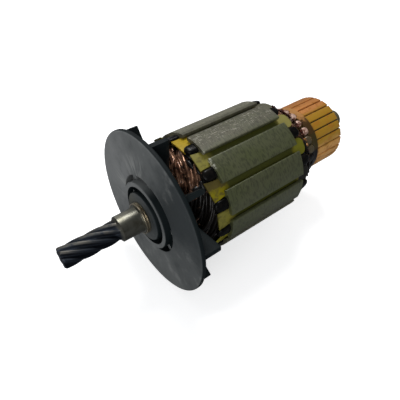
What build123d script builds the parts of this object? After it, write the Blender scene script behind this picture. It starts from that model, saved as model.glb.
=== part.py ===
from build123d import *
import math
import os

# Wound armature of a small commutator motor. It turns about the X axis, with the cut pinion
# at the -X end and the commutator at the +X end. The origin is the middle of the front bearing
# journal, +Z is up. Lengths are in millimetres, angles in degrees from +Y towards +Z.

# Fits between pieces
press_gap = 0.03
slide_gap = 0.1

# Shaft
front_journal_radius = 4.0
front_journal_length = 6.6
fan_seat_radius = 4.6
core_seat_step = 0.3
commutator_seat_radius = 4.3
rear_shoulder_step = 0.3
rear_shoulder_length = 1.4
rear_journal_radius = 3.5
rear_journal_length = 8.6
shaft_chamfer = 0.5

# Helical pinion cut on the front end of the shaft
pinion_length = 17.7
pinion_tooth_count = 7
pinion_tip_radius = 3.25
pinion_root_radius = 2.1
pinion_twist_per_mm = 9.05
pinion_phase = 45.6
pinion_land_share = 0.2
pinion_runout_length = 1.6
pinion_tip_chamfer = 0.35

# Two-land ring between the front bearing and the fan
thrust_ring_wall = 0.4
thrust_ring_length = 1.4
thrust_ring_groove_width = 0.22
thrust_ring_groove_depth = 0.3

# Fan, one moulding
fan_radius = 26.35
fan_disc_thickness = 1.55
fan_rim_round = 1.2
fan_boss_radius = 7.95
fan_boss_setback = 1.95
fan_inner_groove_width = 1.55
fan_ring_width = 1.55
fan_outer_groove_width = 1.65
fan_ring_setback = 1.25
fan_outer_groove_depth = 2.7
fan_inner_groove_depth = 3.7
fan_web_thickness = 1.6
fan_hub_wall = 2.4
fan_hub_rear_length = 9.6
fan_blade_count = 9
fan_blade_radius = 25.3
fan_blade_height = 6.1
fan_blade_thickness = 1.7
fan_blade_draft = 1.0
fan_blade_phase = 14.5

# Lamination stack
slot_count = 12
slot_phase = 20.8
core_radius = 19.66
core_length = 29.9
core_setback = 18.55
tooth_width = 3.7
slot_opening = 2.1
tooth_lip_thickness = 1.1
tooth_lip_slope = 0.55
slot_bottom_radius = 10.0
slot_bottom_round = 0.45

# End insulators, one moulding at each end
insulator_plate = 1.0
insulator_ring_setback = 0.6
insulator_arm_width = 3.2
insulator_sleeve_wall = 2.0
lug_width = 3.5
lug_length = 3.7
lug_thickness = 1.95
lug_setback = 0.7
lug_round = 0.5

# Slot liners and slot wedges
liner_thickness = 0.3
liner_overhang = 1.3
wedge_thickness = 0.55
wedge_front_overhang = 3.6
wedge_rear_overhang = 4.2
wedge_front_round = 0.6
wedge_rear_round = 1.7

# Coils: an outer side in one slot, an inner side some slots further round
coil_pitch_slots = 5
coil_layer_gap = 0.3
coil_head_gap = 1.0
coil_side_stub = 1.5
coil_run_share = 0.45
# One coil head: height over the insulator plate, and place between the slot's inner layer, 0,
# and its outer layer, 1
coil_head_profile = [
    (1.45, 1.0),
    (3.4, 0.95),
    (5.3, 0.68),
    (6.4, 0.15),
    (6.3, -0.49),
    (5.0, -0.93),
    (3.2, -0.96),
    (1.9, -0.61),
    (1.45, 0.0),
]

# Commutator
bar_count = 24
bar_phase = 9.0
bar_gap = 0.5
bar_outer_radius = 12.16
bar_depth = 2.26
bar_root_depth = 1.2
bar_foot_height = 0.5
bar_neck_width = 0.9
bar_foot_width = 1.5
bar_length = 17.6
bar_rear_chamfer = 0.3
commutator_setback = 11.1
hook_height = 0.9
hook_width = 1.5
hook_length = 1.5
hook_setback = 0.3
hook_round = 0.35
rib_undercut = 0.66
hub_flange_lap = 0.8
hub_flange_thickness = 0.9
bush_wall = 1.1
bush_overhang = 0.3

# Leads from the coils to the hooks, and the resin band behind the hooks
lead_radius = 0.6
lead_start_index = 2
lead_shoulder_setback = 1.9
lead_shoulder_rise = 1.1
resin_length = 3.2
resin_height = 0.8
resin_slope_length = 1.4

# Places along the shaft
shoulder_x = -front_journal_length / 2
pinion_tip_x = shoulder_x - pinion_length
journal_end_x = front_journal_length / 2
boss_front_x = journal_end_x + slide_gap + thrust_ring_length + press_gap
fan_face_x = boss_front_x + fan_boss_setback
disc_back_x = fan_face_x + fan_disc_thickness
core_front_x = boss_front_x + core_setback
core_rear_x = core_front_x + core_length
bar_front_x = core_rear_x + commutator_setback
bar_rear_x = bar_front_x + bar_length
commutator_rear_x = bar_rear_x + press_gap + hub_flange_thickness + bush_overhang
rear_journal_x = commutator_rear_x + rear_shoulder_length
shaft_end_x = rear_journal_x + rear_journal_length

core_seat_radius = fan_seat_radius + core_seat_step
rear_shoulder_radius = commutator_seat_radius - rear_shoulder_step
thrust_ring_radius = fan_seat_radius + thrust_ring_wall
fan_ring_inner_radius = fan_boss_radius + fan_inner_groove_width
fan_ring_outer_radius = fan_ring_inner_radius + fan_ring_width
fan_recess_radius = fan_ring_outer_radius + fan_outer_groove_width
fan_hub_rear_radius = fan_seat_radius + fan_hub_wall

slot_pitch = 360 / slot_count
bar_pitch = 360 / bar_count
slot_top_radius = core_radius - tooth_lip_thickness
slot_shoulder_radius = slot_top_radius - tooth_lip_slope
wedge_outer_radius = slot_shoulder_radius - slide_gap / 2
wedge_inner_radius = wedge_outer_radius - wedge_thickness
winding_inset = slide_gap + liner_thickness + slide_gap
winding_bottom = slot_bottom_radius + winding_inset
winding_top = wedge_inner_radius - slide_gap
coil_layer_radius = (winding_bottom + winding_top) / 2
coil_layer_pitch = (winding_top - winding_bottom) / 2
coil_bundle_radius = (coil_layer_pitch - coil_head_gap) / 2
lug_outer_radius = core_radius - lug_setback
lug_inner_radius = lug_outer_radius - lug_thickness
insulator_ring_radius = slot_bottom_radius - insulator_ring_setback
insulator_front_x = core_front_x - insulator_plate
insulator_rear_x = core_rear_x + insulator_plate
hub_front_x = bar_front_x - press_gap - hub_flange_thickness
bush_front_x = hub_front_x - bush_overhang
bush_radius = commutator_seat_radius + press_gap + bush_wall
bar_inner_radius = bar_outer_radius - bar_depth
bar_root_radius = bar_inner_radius - bar_root_depth
bar_foot_radius = bar_root_radius + bar_foot_height
rib_radius = bar_outer_radius - rib_undercut
hub_flange_radius = bar_inner_radius + hub_flange_lap


def save(piece, name):
    """Labels a finished piece and writes it to its own file."""
    piece.label = name
    export_step(piece, f"parts/{name}.step")


def half_width(radius, pitch, wall):
    """Half the width, at a radius, of the space left between walls that stand one pitch apart."""
    half_pitch = math.radians(pitch / 2)
    return radius * math.tan(half_pitch) - wall / 2 / math.cos(half_pitch)


def slot_space(inset, bottom, top):
    """A slot's section between two radii, along +X, drawn in by an inset from the teeth."""
    bottom_half = half_width(bottom, slot_pitch, tooth_width + 2 * inset)
    top_half = half_width(top, slot_pitch, tooth_width + 2 * inset)
    corner = slot_bottom_round - inset
    with BuildSketch() as space:
        with BuildLine():
            Polyline(
                (bottom, bottom_half), (top, top_half), (top, -top_half), (bottom, -bottom_half), close=True
            )
        make_face()
        if corner > 0:
            fillet(space.vertices().sort_by(Axis.X)[:2], radius=corner)
    return space.sketch


def band(x_from, x_to, inner, outer):
    """A tube about the shaft between two places."""
    with BuildPart() as tube:
        with BuildSketch(Plane.YZ.offset(x_from)):
            Circle(outer)
            Circle(inner, mode=Mode.SUBTRACT)
        extrude(amount=x_to - x_from)
    return tube.part


os.makedirs("parts", exist_ok=True)

# Shaft: stepped bar, turned between the journals
shaft_steps = [
    (shoulder_x, front_journal_radius),
    (journal_end_x, fan_seat_radius),
    (core_front_x, core_seat_radius),
    (core_rear_x, commutator_seat_radius),
    (commutator_rear_x, rear_shoulder_radius),
    (rear_journal_x, rear_journal_radius),
]
step_ends = [x for x, radius in shaft_steps[1:]] + [shaft_end_x]
shaft_outline = [(shoulder_x, 0)]
for (step_x, step_radius), end_x in zip(shaft_steps, step_ends):
    shaft_outline += [(step_x, step_radius), (end_x, step_radius)]
shaft_outline[-1] = (shaft_end_x - shaft_chamfer, rear_journal_radius)
shaft_outline += [(shaft_end_x, rear_journal_radius - shaft_chamfer), (shaft_end_x, 0)]

# One pinion tooth spans a pitch: a root, a flank up, a narrow land and a flank down
tooth_pitch = 360 / pinion_tooth_count
land = tooth_pitch * pinion_land_share
pinion_points = []
for tooth in range(pinion_tooth_count):
    middle = tooth * tooth_pitch + pinion_phase
    for offset_angle, radius in (
        (-tooth_pitch / 2, pinion_root_radius),
        (-tooth_pitch / 4, (pinion_root_radius + pinion_tip_radius) / 2),
        (-land / 2, pinion_tip_radius),
        (land / 2, pinion_tip_radius),
        (tooth_pitch / 4, (pinion_root_radius + pinion_tip_radius) / 2),
    ):
        angle = math.radians(middle + offset_angle)
        pinion_points.append((radius * math.cos(angle), radius * math.sin(angle)))

with BuildSketch(Plane.YZ.offset(pinion_tip_x)) as pinion_section:
    with BuildLine():
        Polyline(*pinion_points, close=True)
    make_face()

pinion_teeth = Solid.extrude_linear_with_rotation(
    pinion_section.sketch.faces()[0],
    center=(pinion_tip_x, 0, 0),
    normal=(pinion_length + press_gap, 0, 0),
    angle=pinion_twist_per_mm * (pinion_length + press_gap),
)

with BuildPart() as pinion:
    add(pinion_teeth)
    with BuildSketch(Plane.XY):
        with BuildLine():
            Polyline(
                (pinion_tip_x, 0),
                (pinion_tip_x, pinion_tip_radius - pinion_tip_chamfer),
                (pinion_tip_x + pinion_tip_chamfer + slide_gap, pinion_tip_radius + slide_gap),
                (shoulder_x + press_gap, pinion_tip_radius + slide_gap),
                (shoulder_x + press_gap, 0),
                close=True,
            )
        make_face()
    revolve(axis=Axis.X, mode=Mode.INTERSECT)

with BuildPart() as shaft:
    with BuildSketch(Plane.XY):
        with BuildLine():
            Polyline(*shaft_outline, close=True)
        make_face()
        with BuildLine():
            Polyline(
                (shoulder_x - pinion_runout_length, 0),
                (shoulder_x - pinion_runout_length, pinion_root_radius - press_gap),
                (shoulder_x, front_journal_radius),
                (shoulder_x, 0),
                close=True,
            )
        make_face()
    revolve(axis=Axis.X)
    add(pinion.part)
save(shaft.part, "shaft")

# Thrust ring with a groove between its two lands
ring_front_x = journal_end_x + slide_gap
ring_rear_x = ring_front_x + thrust_ring_length
ring_middle_x = (ring_front_x + ring_rear_x) / 2
with BuildPart() as thrust_ring:
    add(band(ring_front_x, ring_rear_x, fan_seat_radius + press_gap, thrust_ring_radius))
    groove_tool = band(
        ring_middle_x - thrust_ring_groove_width / 2,
        ring_middle_x + thrust_ring_groove_width / 2,
        thrust_ring_radius - thrust_ring_groove_depth,
        thrust_ring_radius + slide_gap,
    )
    add(groove_tool, mode=Mode.SUBTRACT)
save(thrust_ring.part, "thrust_ring")

# Fan: front disc, two labyrinth grooves round the boss, a rear hub and straight radial blades
fan_bore = fan_seat_radius + press_gap
inner_floor_x = fan_face_x + fan_inner_groove_depth
outer_floor_x = fan_face_x + fan_outer_groove_depth
web_back_x = inner_floor_x + fan_web_thickness
hub_rear_x = fan_face_x + fan_hub_rear_length
with BuildPart() as fan:
    with BuildSketch(Plane.XY):
        with BuildLine():
            Polyline(
                (boss_front_x, fan_bore),
                (boss_front_x, fan_boss_radius),
                (inner_floor_x, fan_boss_radius),
                (inner_floor_x, fan_ring_inner_radius),
                (fan_face_x - fan_ring_setback, fan_ring_inner_radius),
                (fan_face_x - fan_ring_setback, fan_ring_outer_radius),
                (outer_floor_x, fan_ring_outer_radius),
                (outer_floor_x, fan_recess_radius),
                (fan_face_x, fan_recess_radius),
                (fan_face_x, fan_radius),
                (disc_back_x, fan_radius),
                (disc_back_x, fan_recess_radius + fan_web_thickness),
                (web_back_x, fan_ring_outer_radius),
                (web_back_x, fan_hub_rear_radius),
                (hub_rear_x, fan_hub_rear_radius),
                (hub_rear_x, fan_bore),
                close=True,
            )
        make_face()
    revolve(axis=Axis.X)
    rim_edges = fan.edges().filter_by(GeomType.CIRCLE).sort_by(lambda edge: edge.radius)[-2:]
    fillet(rim_edges.sort_by(Axis.X)[0], radius=fan_rim_round)
    blade_inner = fan_hub_rear_radius - press_gap
    with BuildSketch(Plane.YZ.offset(disc_back_x - fan_disc_thickness / 2)):
        with PolarLocations((blade_inner + fan_blade_radius) / 2, fan_blade_count, fan_blade_phase):
            Rectangle(fan_blade_radius - blade_inner, fan_blade_thickness)
    extrude(amount=fan_blade_height + fan_disc_thickness / 2, taper=fan_blade_draft)
    with BuildSketch(Plane.YZ.offset(boss_front_x)):
        Circle(fan_bore)
    extrude(amount=hub_rear_x - boss_front_x, mode=Mode.SUBTRACT)
save(fan.part, "fan")

# Lamination stack: half-closed slots between parallel-sided teeth
with BuildSketch() as slot_section:
    add(slot_space(0, slot_bottom_radius, slot_shoulder_radius))
    with BuildLine():
        Polyline(
            (slot_shoulder_radius, half_width(slot_shoulder_radius, slot_pitch, tooth_width)),
            (slot_top_radius, slot_opening / 2),
            (slot_top_radius, -slot_opening / 2),
            (slot_shoulder_radius, -half_width(slot_shoulder_radius, slot_pitch, tooth_width)),
            close=True,
        )
    make_face()
    with Locations((slot_top_radius, 0)):
        Rectangle(2 * tooth_lip_thickness, slot_opening)

with BuildPart() as lamination_stack:
    with BuildSketch(Plane.YZ.offset(core_front_x)):
        Circle(core_radius)
        Circle(core_seat_radius + press_gap, mode=Mode.SUBTRACT)
        with PolarLocations(0, slot_count, slot_phase):
            add(slot_section.sketch, mode=Mode.SUBTRACT)
    extrude(amount=core_length)
save(lamination_stack.part, "lamination_stack")


def end_insulator(plate_x, seat_radius, sleeve_end_x, outward):
    """One end insulator: a spider plate on the teeth, a shaft sleeve and a lug over each tooth."""
    plate_outer_x = plate_x + outward * insulator_plate
    lug_end_x = plate_x + outward * (insulator_plate + lug_length)
    lug_middle = (lug_inner_radius + lug_outer_radius) / 2
    with BuildPart() as lug:
        with BuildSketch(Plane.YZ.offset(plate_x)):
            with Locations((lug_middle, 0)):
                RectangleRounded(lug_outer_radius - lug_inner_radius, lug_width, lug_round)
        extrude(amount=lug_end_x - plate_x)
        end_face = lug.faces().sort_by(Axis.X)[-1 if outward > 0 else 0]
        fillet(end_face.edges(), radius=lug_round)
    with BuildPart() as insulator:
        with BuildSketch(Plane.YZ.offset(plate_x)):
            Circle(insulator_ring_radius)
            with PolarLocations(lug_outer_radius / 2, slot_count, slot_phase + slot_pitch / 2):
                Rectangle(lug_outer_radius, insulator_arm_width)
            Circle(lug_middle, mode=Mode.INTERSECT)
        extrude(amount=plate_outer_x - plate_x)
        with BuildSketch(Plane.YZ.offset(plate_x)):
            Circle(seat_radius + press_gap + insulator_sleeve_wall)
        extrude(amount=sleeve_end_x - plate_x)
        with BuildSketch(Plane.YZ.offset(plate_x)):
            Circle(seat_radius + press_gap)
        extrude(amount=sleeve_end_x - plate_x, mode=Mode.SUBTRACT)
        for tooth in range(slot_count):
            add(lug.part.rotate(Axis.X, slot_phase + slot_pitch * (tooth + 0.5)))
    return insulator.part


# End insulators: the front sleeve reaches the fan, the rear one the commutator's bush
save(end_insulator(core_front_x, fan_seat_radius, hub_rear_x + slide_gap, -1), "front_insulator")
save(end_insulator(core_rear_x, commutator_seat_radius, bush_front_x - slide_gap, 1), "rear_insulator")

# Slot liner: a folded U against the slot's bottom and both teeth
liner_inset = slide_gap + liner_thickness
with BuildPart() as liner:
    with BuildSketch(Plane.YZ.offset(core_front_x - liner_overhang)):
        add(slot_space(slide_gap, slot_bottom_radius + slide_gap, wedge_inner_radius - slide_gap))
        add(
            slot_space(liner_inset, slot_bottom_radius + liner_inset, wedge_outer_radius),
            mode=Mode.SUBTRACT,
        )
    extrude(amount=core_length + 2 * liner_overhang)

# Slot wedge: a flat strip under the tooth lips, standing out past both ends of the core
wedge_plane = Plane.XY.offset(wedge_inner_radius)
wedge_width = 2 * half_width(wedge_inner_radius, slot_pitch, tooth_width + 2 * slide_gap)
wedge_front_x = core_front_x - wedge_front_overhang
wedge_rear_x = core_rear_x + wedge_rear_overhang
with BuildPart() as wedge:
    with BuildSketch(wedge_plane):
        with Locations(((wedge_front_x + wedge_rear_x) / 2, 0)):
            Rectangle(wedge_rear_x - wedge_front_x, wedge_width)
        wedge_corners = vertices().sort_by(Axis.X)
        fillet(wedge_corners[:2], radius=wedge_front_round)
        fillet(wedge_corners[2:], radius=wedge_rear_round)
    extrude(amount=wedge_thickness)


def bend_radii(points):
    """Bend radii for a path's inner corners, each set by its shorter run and its turn."""
    radii = []
    for before, corner, after in zip(points, points[1:], points[2:]):
        half_turn = math.radians((corner - before).get_angle(after - corner)) / 2
        shorter = min((corner - before).length, (after - corner).length)
        radii.append(coil_run_share * shorter / math.tan(half_turn))
    return radii


def bundle_radius_at(layer):
    """Radius of a bundle's centre at a place between the inner layer, 0, and the outer one, 1."""
    return coil_layer_radius + (layer - 0.5) * coil_layer_pitch


def head_path(base_x, outward):
    """Centre line of a coil head, from its outer side in one slot to its inner side in another."""
    flat = [(height, bundle_radius_at(layer)) for height, layer in coil_head_profile]
    runs = [math.dist(a, b) for a, b in zip(flat, flat[1:])]
    turn = math.radians(coil_pitch_slots * slot_pitch)
    points = []
    for step, (height, radius) in enumerate(flat):
        angle = turn * sum(runs[:step]) / sum(runs)
        across, up = radius * math.cos(angle), radius * math.sin(angle)
        points.append(Vector(base_x + outward * height, across, up))
    return points


# Coil: two slot sides joined by a bundled head at each end of the core
side_start_x = insulator_front_x - coil_side_stub
side_length = insulator_rear_x + coil_side_stub - side_start_x
layer_half = coil_layer_gap / 2
turn_angle = coil_pitch_slots * slot_pitch
with BuildPart() as coil:
    with BuildSketch(Plane.YZ.offset(side_start_x)):
        add(slot_space(winding_inset, coil_layer_radius + layer_half, winding_top))
        inner_side = slot_space(winding_inset, winding_bottom, coil_layer_radius - layer_half)
        add(inner_side.rotate(Axis.Z, turn_angle))
    extrude(amount=side_length)
    for plate_outer_x, outward in ((insulator_front_x, -1), (insulator_rear_x, 1)):
        head_points = head_path(plate_outer_x, outward)
        with BuildLine() as head_line:
            FilletPolyline(*head_points, radius=bend_radii(head_points))
        with BuildSketch(Plane(origin=head_line.line @ 0, z_dir=head_line.line % 0)):
            Circle(coil_bundle_radius)
        sweep(path=head_line.line)

for slot in range(slot_count):
    slot_angle = slot_phase + slot_pitch * slot
    number = f"{slot + 1:02d}"
    save(liner.part.rotate(Axis.X, slot_angle), f"slot_liner_{number}")
    save(wedge.part.rotate(Axis.X, slot_angle - 90), f"slot_wedge_{number}")
    save(coil.part.rotate(Axis.X, slot_angle), f"coil_{number}")

# Commutator bush
with BuildPart() as commutator_bush:
    add(band(bush_front_x, commutator_rear_x, commutator_seat_radius + press_gap, bush_radius))
save(commutator_bush.part, "commutator_bush")


def bar_section(clearance):
    """A bar's section along +X with its neck and foot, grown by a clearance on every side."""
    body_inner = bar_inner_radius - clearance
    body_outer = bar_outer_radius + bar_gap
    gap = bar_gap - 2 * clearance
    foot_bottom = bar_root_radius - clearance
    with BuildSketch() as section:
        with BuildLine():
            Polyline(
                (body_inner, half_width(body_inner, bar_pitch, gap)),
                (body_outer, half_width(body_outer, bar_pitch, gap)),
                (body_outer, -half_width(body_outer, bar_pitch, gap)),
                (body_inner, -half_width(body_inner, bar_pitch, gap)),
                close=True,
            )
        make_face()
        with Locations(((foot_bottom + bar_inner_radius) / 2, 0)):
            Rectangle(bar_inner_radius - foot_bottom, bar_neck_width + 2 * clearance)
        foot_height = bar_foot_radius + clearance - foot_bottom
        with Locations((foot_bottom + foot_height / 2, 0)):
            Rectangle(foot_height, bar_foot_width + 2 * clearance)
    return section.sketch


# Commutator bars with a chamfered rear edge and a hook over the front end
hook_front_x = bar_front_x + hook_setback
hook_rear_x = hook_front_x + hook_length
with BuildPart() as bar:
    with BuildSketch(Plane.YZ.offset(bar_front_x)):
        add(bar_section(0))
    extrude(amount=bar_length)
    with BuildSketch(Plane.XY):
        with BuildLine():
            Polyline(
                (bar_front_x, 0),
                (bar_front_x, bar_outer_radius),
                (bar_rear_x - bar_rear_chamfer, bar_outer_radius),
                (bar_rear_x, bar_outer_radius - bar_rear_chamfer),
                (bar_rear_x, 0),
                close=True,
            )
        make_face()
    revolve(axis=Axis.X, mode=Mode.INTERSECT)
    with BuildSketch(Plane.YZ.offset(hook_front_x)):
        with Locations((bar_outer_radius, 0)):
            Rectangle(2 * hook_height, hook_width)
    extrude(amount=hook_length)
    hook_top = bar.faces().sort_by(Axis.Y)[-1]
    fillet(hook_top.edges(), radius=hook_round)

with BuildPart() as commutator_bars:
    for number in range(bar_count):
        add(bar.part.rotate(Axis.X, bar_phase + bar_pitch * number))
save(commutator_bars.part, "commutator_bars")

# Commutator hub: moulded round the bars' feet, with a thin rib in each gap
with BuildPart() as commutator_hub:
    add(band(hub_front_x, commutator_rear_x - bush_overhang, bush_radius + press_gap, hub_flange_radius))
    add(band(bar_front_x, bar_rear_x, bush_radius + press_gap, rib_radius))
    with BuildSketch(Plane.YZ.offset(bar_front_x - press_gap)):
        with PolarLocations(0, bar_count, bar_phase):
            add(bar_section(press_gap))
    extrude(amount=bar_length + 2 * press_gap, mode=Mode.SUBTRACT)
save(commutator_hub.part, "commutator_hub")

# Leads: one from the winding up to each hook
lead_end_radius = bar_outer_radius + lead_radius + press_gap
lead_end_x = hook_front_x - press_gap
lead_lift = (coil_bundle_radius + lead_radius + slide_gap) / math.sqrt(2)
seat_height, seat_layer = coil_head_profile[lead_start_index]
lead_points = [
    Vector(insulator_rear_x + seat_height + lead_lift, bundle_radius_at(seat_layer) + lead_lift, 0),
    Vector(hook_front_x - lead_shoulder_setback, lead_end_radius + lead_shoulder_rise, 0),
    Vector(hook_front_x - lead_shoulder_setback / 2, lead_end_radius, 0),
    Vector(lead_end_x, lead_end_radius, 0),
]
with BuildPart() as lead:
    with BuildLine() as lead_line:
        FilletPolyline(*lead_points, radius=bend_radii(lead_points))
    with BuildSketch(Plane(origin=lead_line.line @ 0, z_dir=lead_line.line % 0)):
        Circle(lead_radius)
    sweep(path=lead_line.line)

with BuildPart() as coil_leads:
    for number in range(bar_count):
        add(lead.part.rotate(Axis.X, bar_phase + bar_pitch * number))
save(coil_leads.part, "coil_leads")

# Resin band: a low ring on the bars behind the hooks, sloping off to the rear
resin_front_x = hook_rear_x + press_gap
resin_rear_x = resin_front_x + resin_length
resin_seat = bar_outer_radius + press_gap
with BuildPart() as resin_band:
    with BuildSketch(Plane.XY):
        with BuildLine():
            Polyline(
                (resin_front_x, resin_seat),
                (resin_front_x, resin_seat + resin_height),
                (resin_rear_x - resin_slope_length, resin_seat + resin_height),
                (resin_rear_x, resin_seat + resin_height / 4),
                (resin_rear_x, resin_seat),
                close=True,
            )
        make_face()
    revolve(axis=Axis.X)
save(resin_band.part, "resin_band")
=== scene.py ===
"""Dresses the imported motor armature: turned steel, moulded fan, varnished core, copper and wire."""

import logging
import math
from dataclasses import dataclass, field
from enum import Enum
from typing import Any, Sequence

import bmesh
import bpy
import numpy as np
from mathutils import Matrix, Vector
from mathutils.geometry import tessellate_polygon


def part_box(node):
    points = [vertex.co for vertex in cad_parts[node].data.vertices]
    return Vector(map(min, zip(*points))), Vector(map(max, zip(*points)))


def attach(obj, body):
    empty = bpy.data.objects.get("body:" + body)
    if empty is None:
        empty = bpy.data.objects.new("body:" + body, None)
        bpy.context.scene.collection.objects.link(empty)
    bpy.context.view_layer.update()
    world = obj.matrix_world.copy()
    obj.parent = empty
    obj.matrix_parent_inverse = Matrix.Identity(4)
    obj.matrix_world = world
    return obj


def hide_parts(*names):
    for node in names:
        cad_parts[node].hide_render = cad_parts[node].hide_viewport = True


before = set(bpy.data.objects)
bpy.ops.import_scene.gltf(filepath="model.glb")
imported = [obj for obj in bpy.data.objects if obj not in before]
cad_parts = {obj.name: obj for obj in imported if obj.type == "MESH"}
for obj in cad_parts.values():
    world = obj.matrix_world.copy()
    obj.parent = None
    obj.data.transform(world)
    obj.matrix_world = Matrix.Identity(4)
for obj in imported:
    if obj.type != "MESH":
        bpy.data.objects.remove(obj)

LOG = logging.getLogger("armature")
MM = 0.001
TAU = 2 * math.pi
BODY = "root"

# Bores of the pieces on the shaft's front seat and on its rear one, in metres.
FRONT_BORE = 4.63 * MM
REAR_BORE = 4.33 * MM

# The gap between an insulator's sleeve and the piece that it stands next to, in metres.
SLEEVE_GAP = 0.1 * MM

# Radii at which patterns are laid round the shaft, the core and the bars, in millimetres.
SHAFT_MM, CORE_MM, BAR_MM = 4.0, 19.7, 12.2

Array = np.ndarray
Colour = tuple[float, float, float]


def polar(x: Any, radius: Any, angle: Any) -> Array:
    """Places points round the shaft.

    The formula is (x, radius times cosine of the angle, radius times sine of the angle).

    Args:
        x: places along the shaft, in metres.
        radius: distances from the shaft's axis, in metres.
        angle: angles from +Y towards +Z, in radians.

    Returns:
        An array of points with the broadcast shape of the arguments and a last axis of 3.
    """
    along, out, turn = np.broadcast_arrays(x, radius, angle)
    return np.stack([along, out * np.cos(turn), out * np.sin(turn)], axis=-1)


def swing(x: Any, out: Any, side: Any, angle: Any) -> Array:
    """Turns points round the shaft.

    The formula is (x, out times cosine less side times sine, out times sine plus side times cosine).

    Args:
        x: places along the shaft, in metres.
        out: distances from its axis in the direction of the angle, in metres.
        side: distances square to that direction, in metres.
        angle: angles from +Y towards +Z, in radians.

    Returns:
        An array of points with the broadcast shape of the arguments and a last axis of 3.
    """
    y = out * np.cos(angle) - side * np.sin(angle)
    z = out * np.sin(angle) + side * np.cos(angle)
    return np.stack(np.broadcast_arrays(x, y, z), axis=-1)


def even_angles(phase: float, count: int, axes: int) -> Array:
    """A phase plus equal shares of a full turn, in radians, with so many axes of length 1 behind."""
    return (phase + TAU * np.arange(count) / count).reshape(-1, *(1,) * axes)


def unit(vectors: Array) -> Array:
    """Vectors divided by their own lengths."""
    return vectors / np.maximum(np.linalg.norm(vectors, axis=-1, keepdims=True), 1e-12)


def ripple(t: Array, seed: int, waves: int = 4, turns: float = 3.0) -> Array:
    """A smooth wander about zero: a sum of sines with seeded phases and falling heights.

    Args:
        t: parameter, usually 0 to 1 along a piece.
        seed: makes the wander the same in each run.
        waves: how many sines are summed.
        turns: cycles of the first sine over a unit of t.

    Returns:
        Values within about 1 of zero, one for each t.
    """
    draw = np.random.default_rng(seed)
    phase = draw.uniform(0, TAU, waves)
    height = draw.uniform(0.5, 1.0, waves) / (1 + np.arange(waves))
    speed = turns * (1 + np.arange(waves)) * draw.uniform(0.8, 1.2, waves)
    return (height * np.sin(TAU * speed * np.asarray(t, float)[..., None] + phase)).sum(-1) / 1.5


def round_corners(
    points: Sequence[tuple[float, float]], radii: Any, steps: int = 5, closed: bool = True
) -> Array:
    """Rounds an outline's corners.

    Each corner becomes a quadratic curve between two points on its edges, at the radius divided by
    the tangent of half the corner's angle, or 0.48 of the shorter edge where that is less.

    Args:
        points: the outline's corners in order.
        radii: one radius, or one for each corner, in the points' unit.
        steps: points on each rounded corner.
        closed: whether the last corner joins the first. The ends of an open outline stay sharp.

    Returns:
        The rounded outline, as an array of points.
    """
    corner = np.asarray(points, float)
    radius = np.broadcast_to(np.asarray(radii, float), len(corner)).copy()
    before, after = np.roll(corner, 1, 0) - corner, np.roll(corner, -1, 0) - corner
    if not closed:
        radius[[0, -1]] = 0
        before[0], after[-1] = -after[0], -before[-1]
    shorter = np.minimum(np.linalg.norm(before, axis=1), np.linalg.norm(after, axis=1))
    before, after = unit(before), unit(after)
    half = np.arccos(np.clip((before * after).sum(1), -1, 1)) / 2
    cut = np.minimum(radius / np.maximum(np.tan(half), 1e-6), 0.48 * shorter)
    u = np.linspace(0, 1, steps)[None, :, None]
    start, end = corner + before * cut[:, None], corner + after * cut[:, None]
    curve = (1 - u) ** 2 * start[:, None] + 2 * u * (1 - u) * corner[:, None] + u**2 * end[:, None]
    flat = curve.reshape(-1, 2)
    keep = np.linalg.norm(np.diff(flat, axis=0, prepend=flat[:1] - 1), axis=1) > 1e-9
    return flat[keep]


def smooth_line(points: Sequence[Sequence[float]], count: int) -> Array:
    """A smooth line through points, each span a cubic whose end slopes are half the neighbours' chord.

    Args:
        points: what the line passes through.
        count: how many points the result has, evenly spaced in the spans' parameter.

    Returns:
        The line's points.
    """
    p = np.asarray(points, float)
    p = np.concatenate([2 * p[:1] - p[1:2], p, 2 * p[-1:] - p[-2:-1]])
    t = np.linspace(0, len(p) - 3 - 1e-9, count)
    i = t.astype(int)
    u = (t - i)[:, None]
    a, b, c, d = p[i], p[i + 1], p[i + 2], p[i + 3]
    return 0.5 * (2 * b + (c - a) * u + (2 * a - 5 * b + 4 * c - d) * u**2 + (3 * b - a - 3 * c + d) * u**3)


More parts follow.
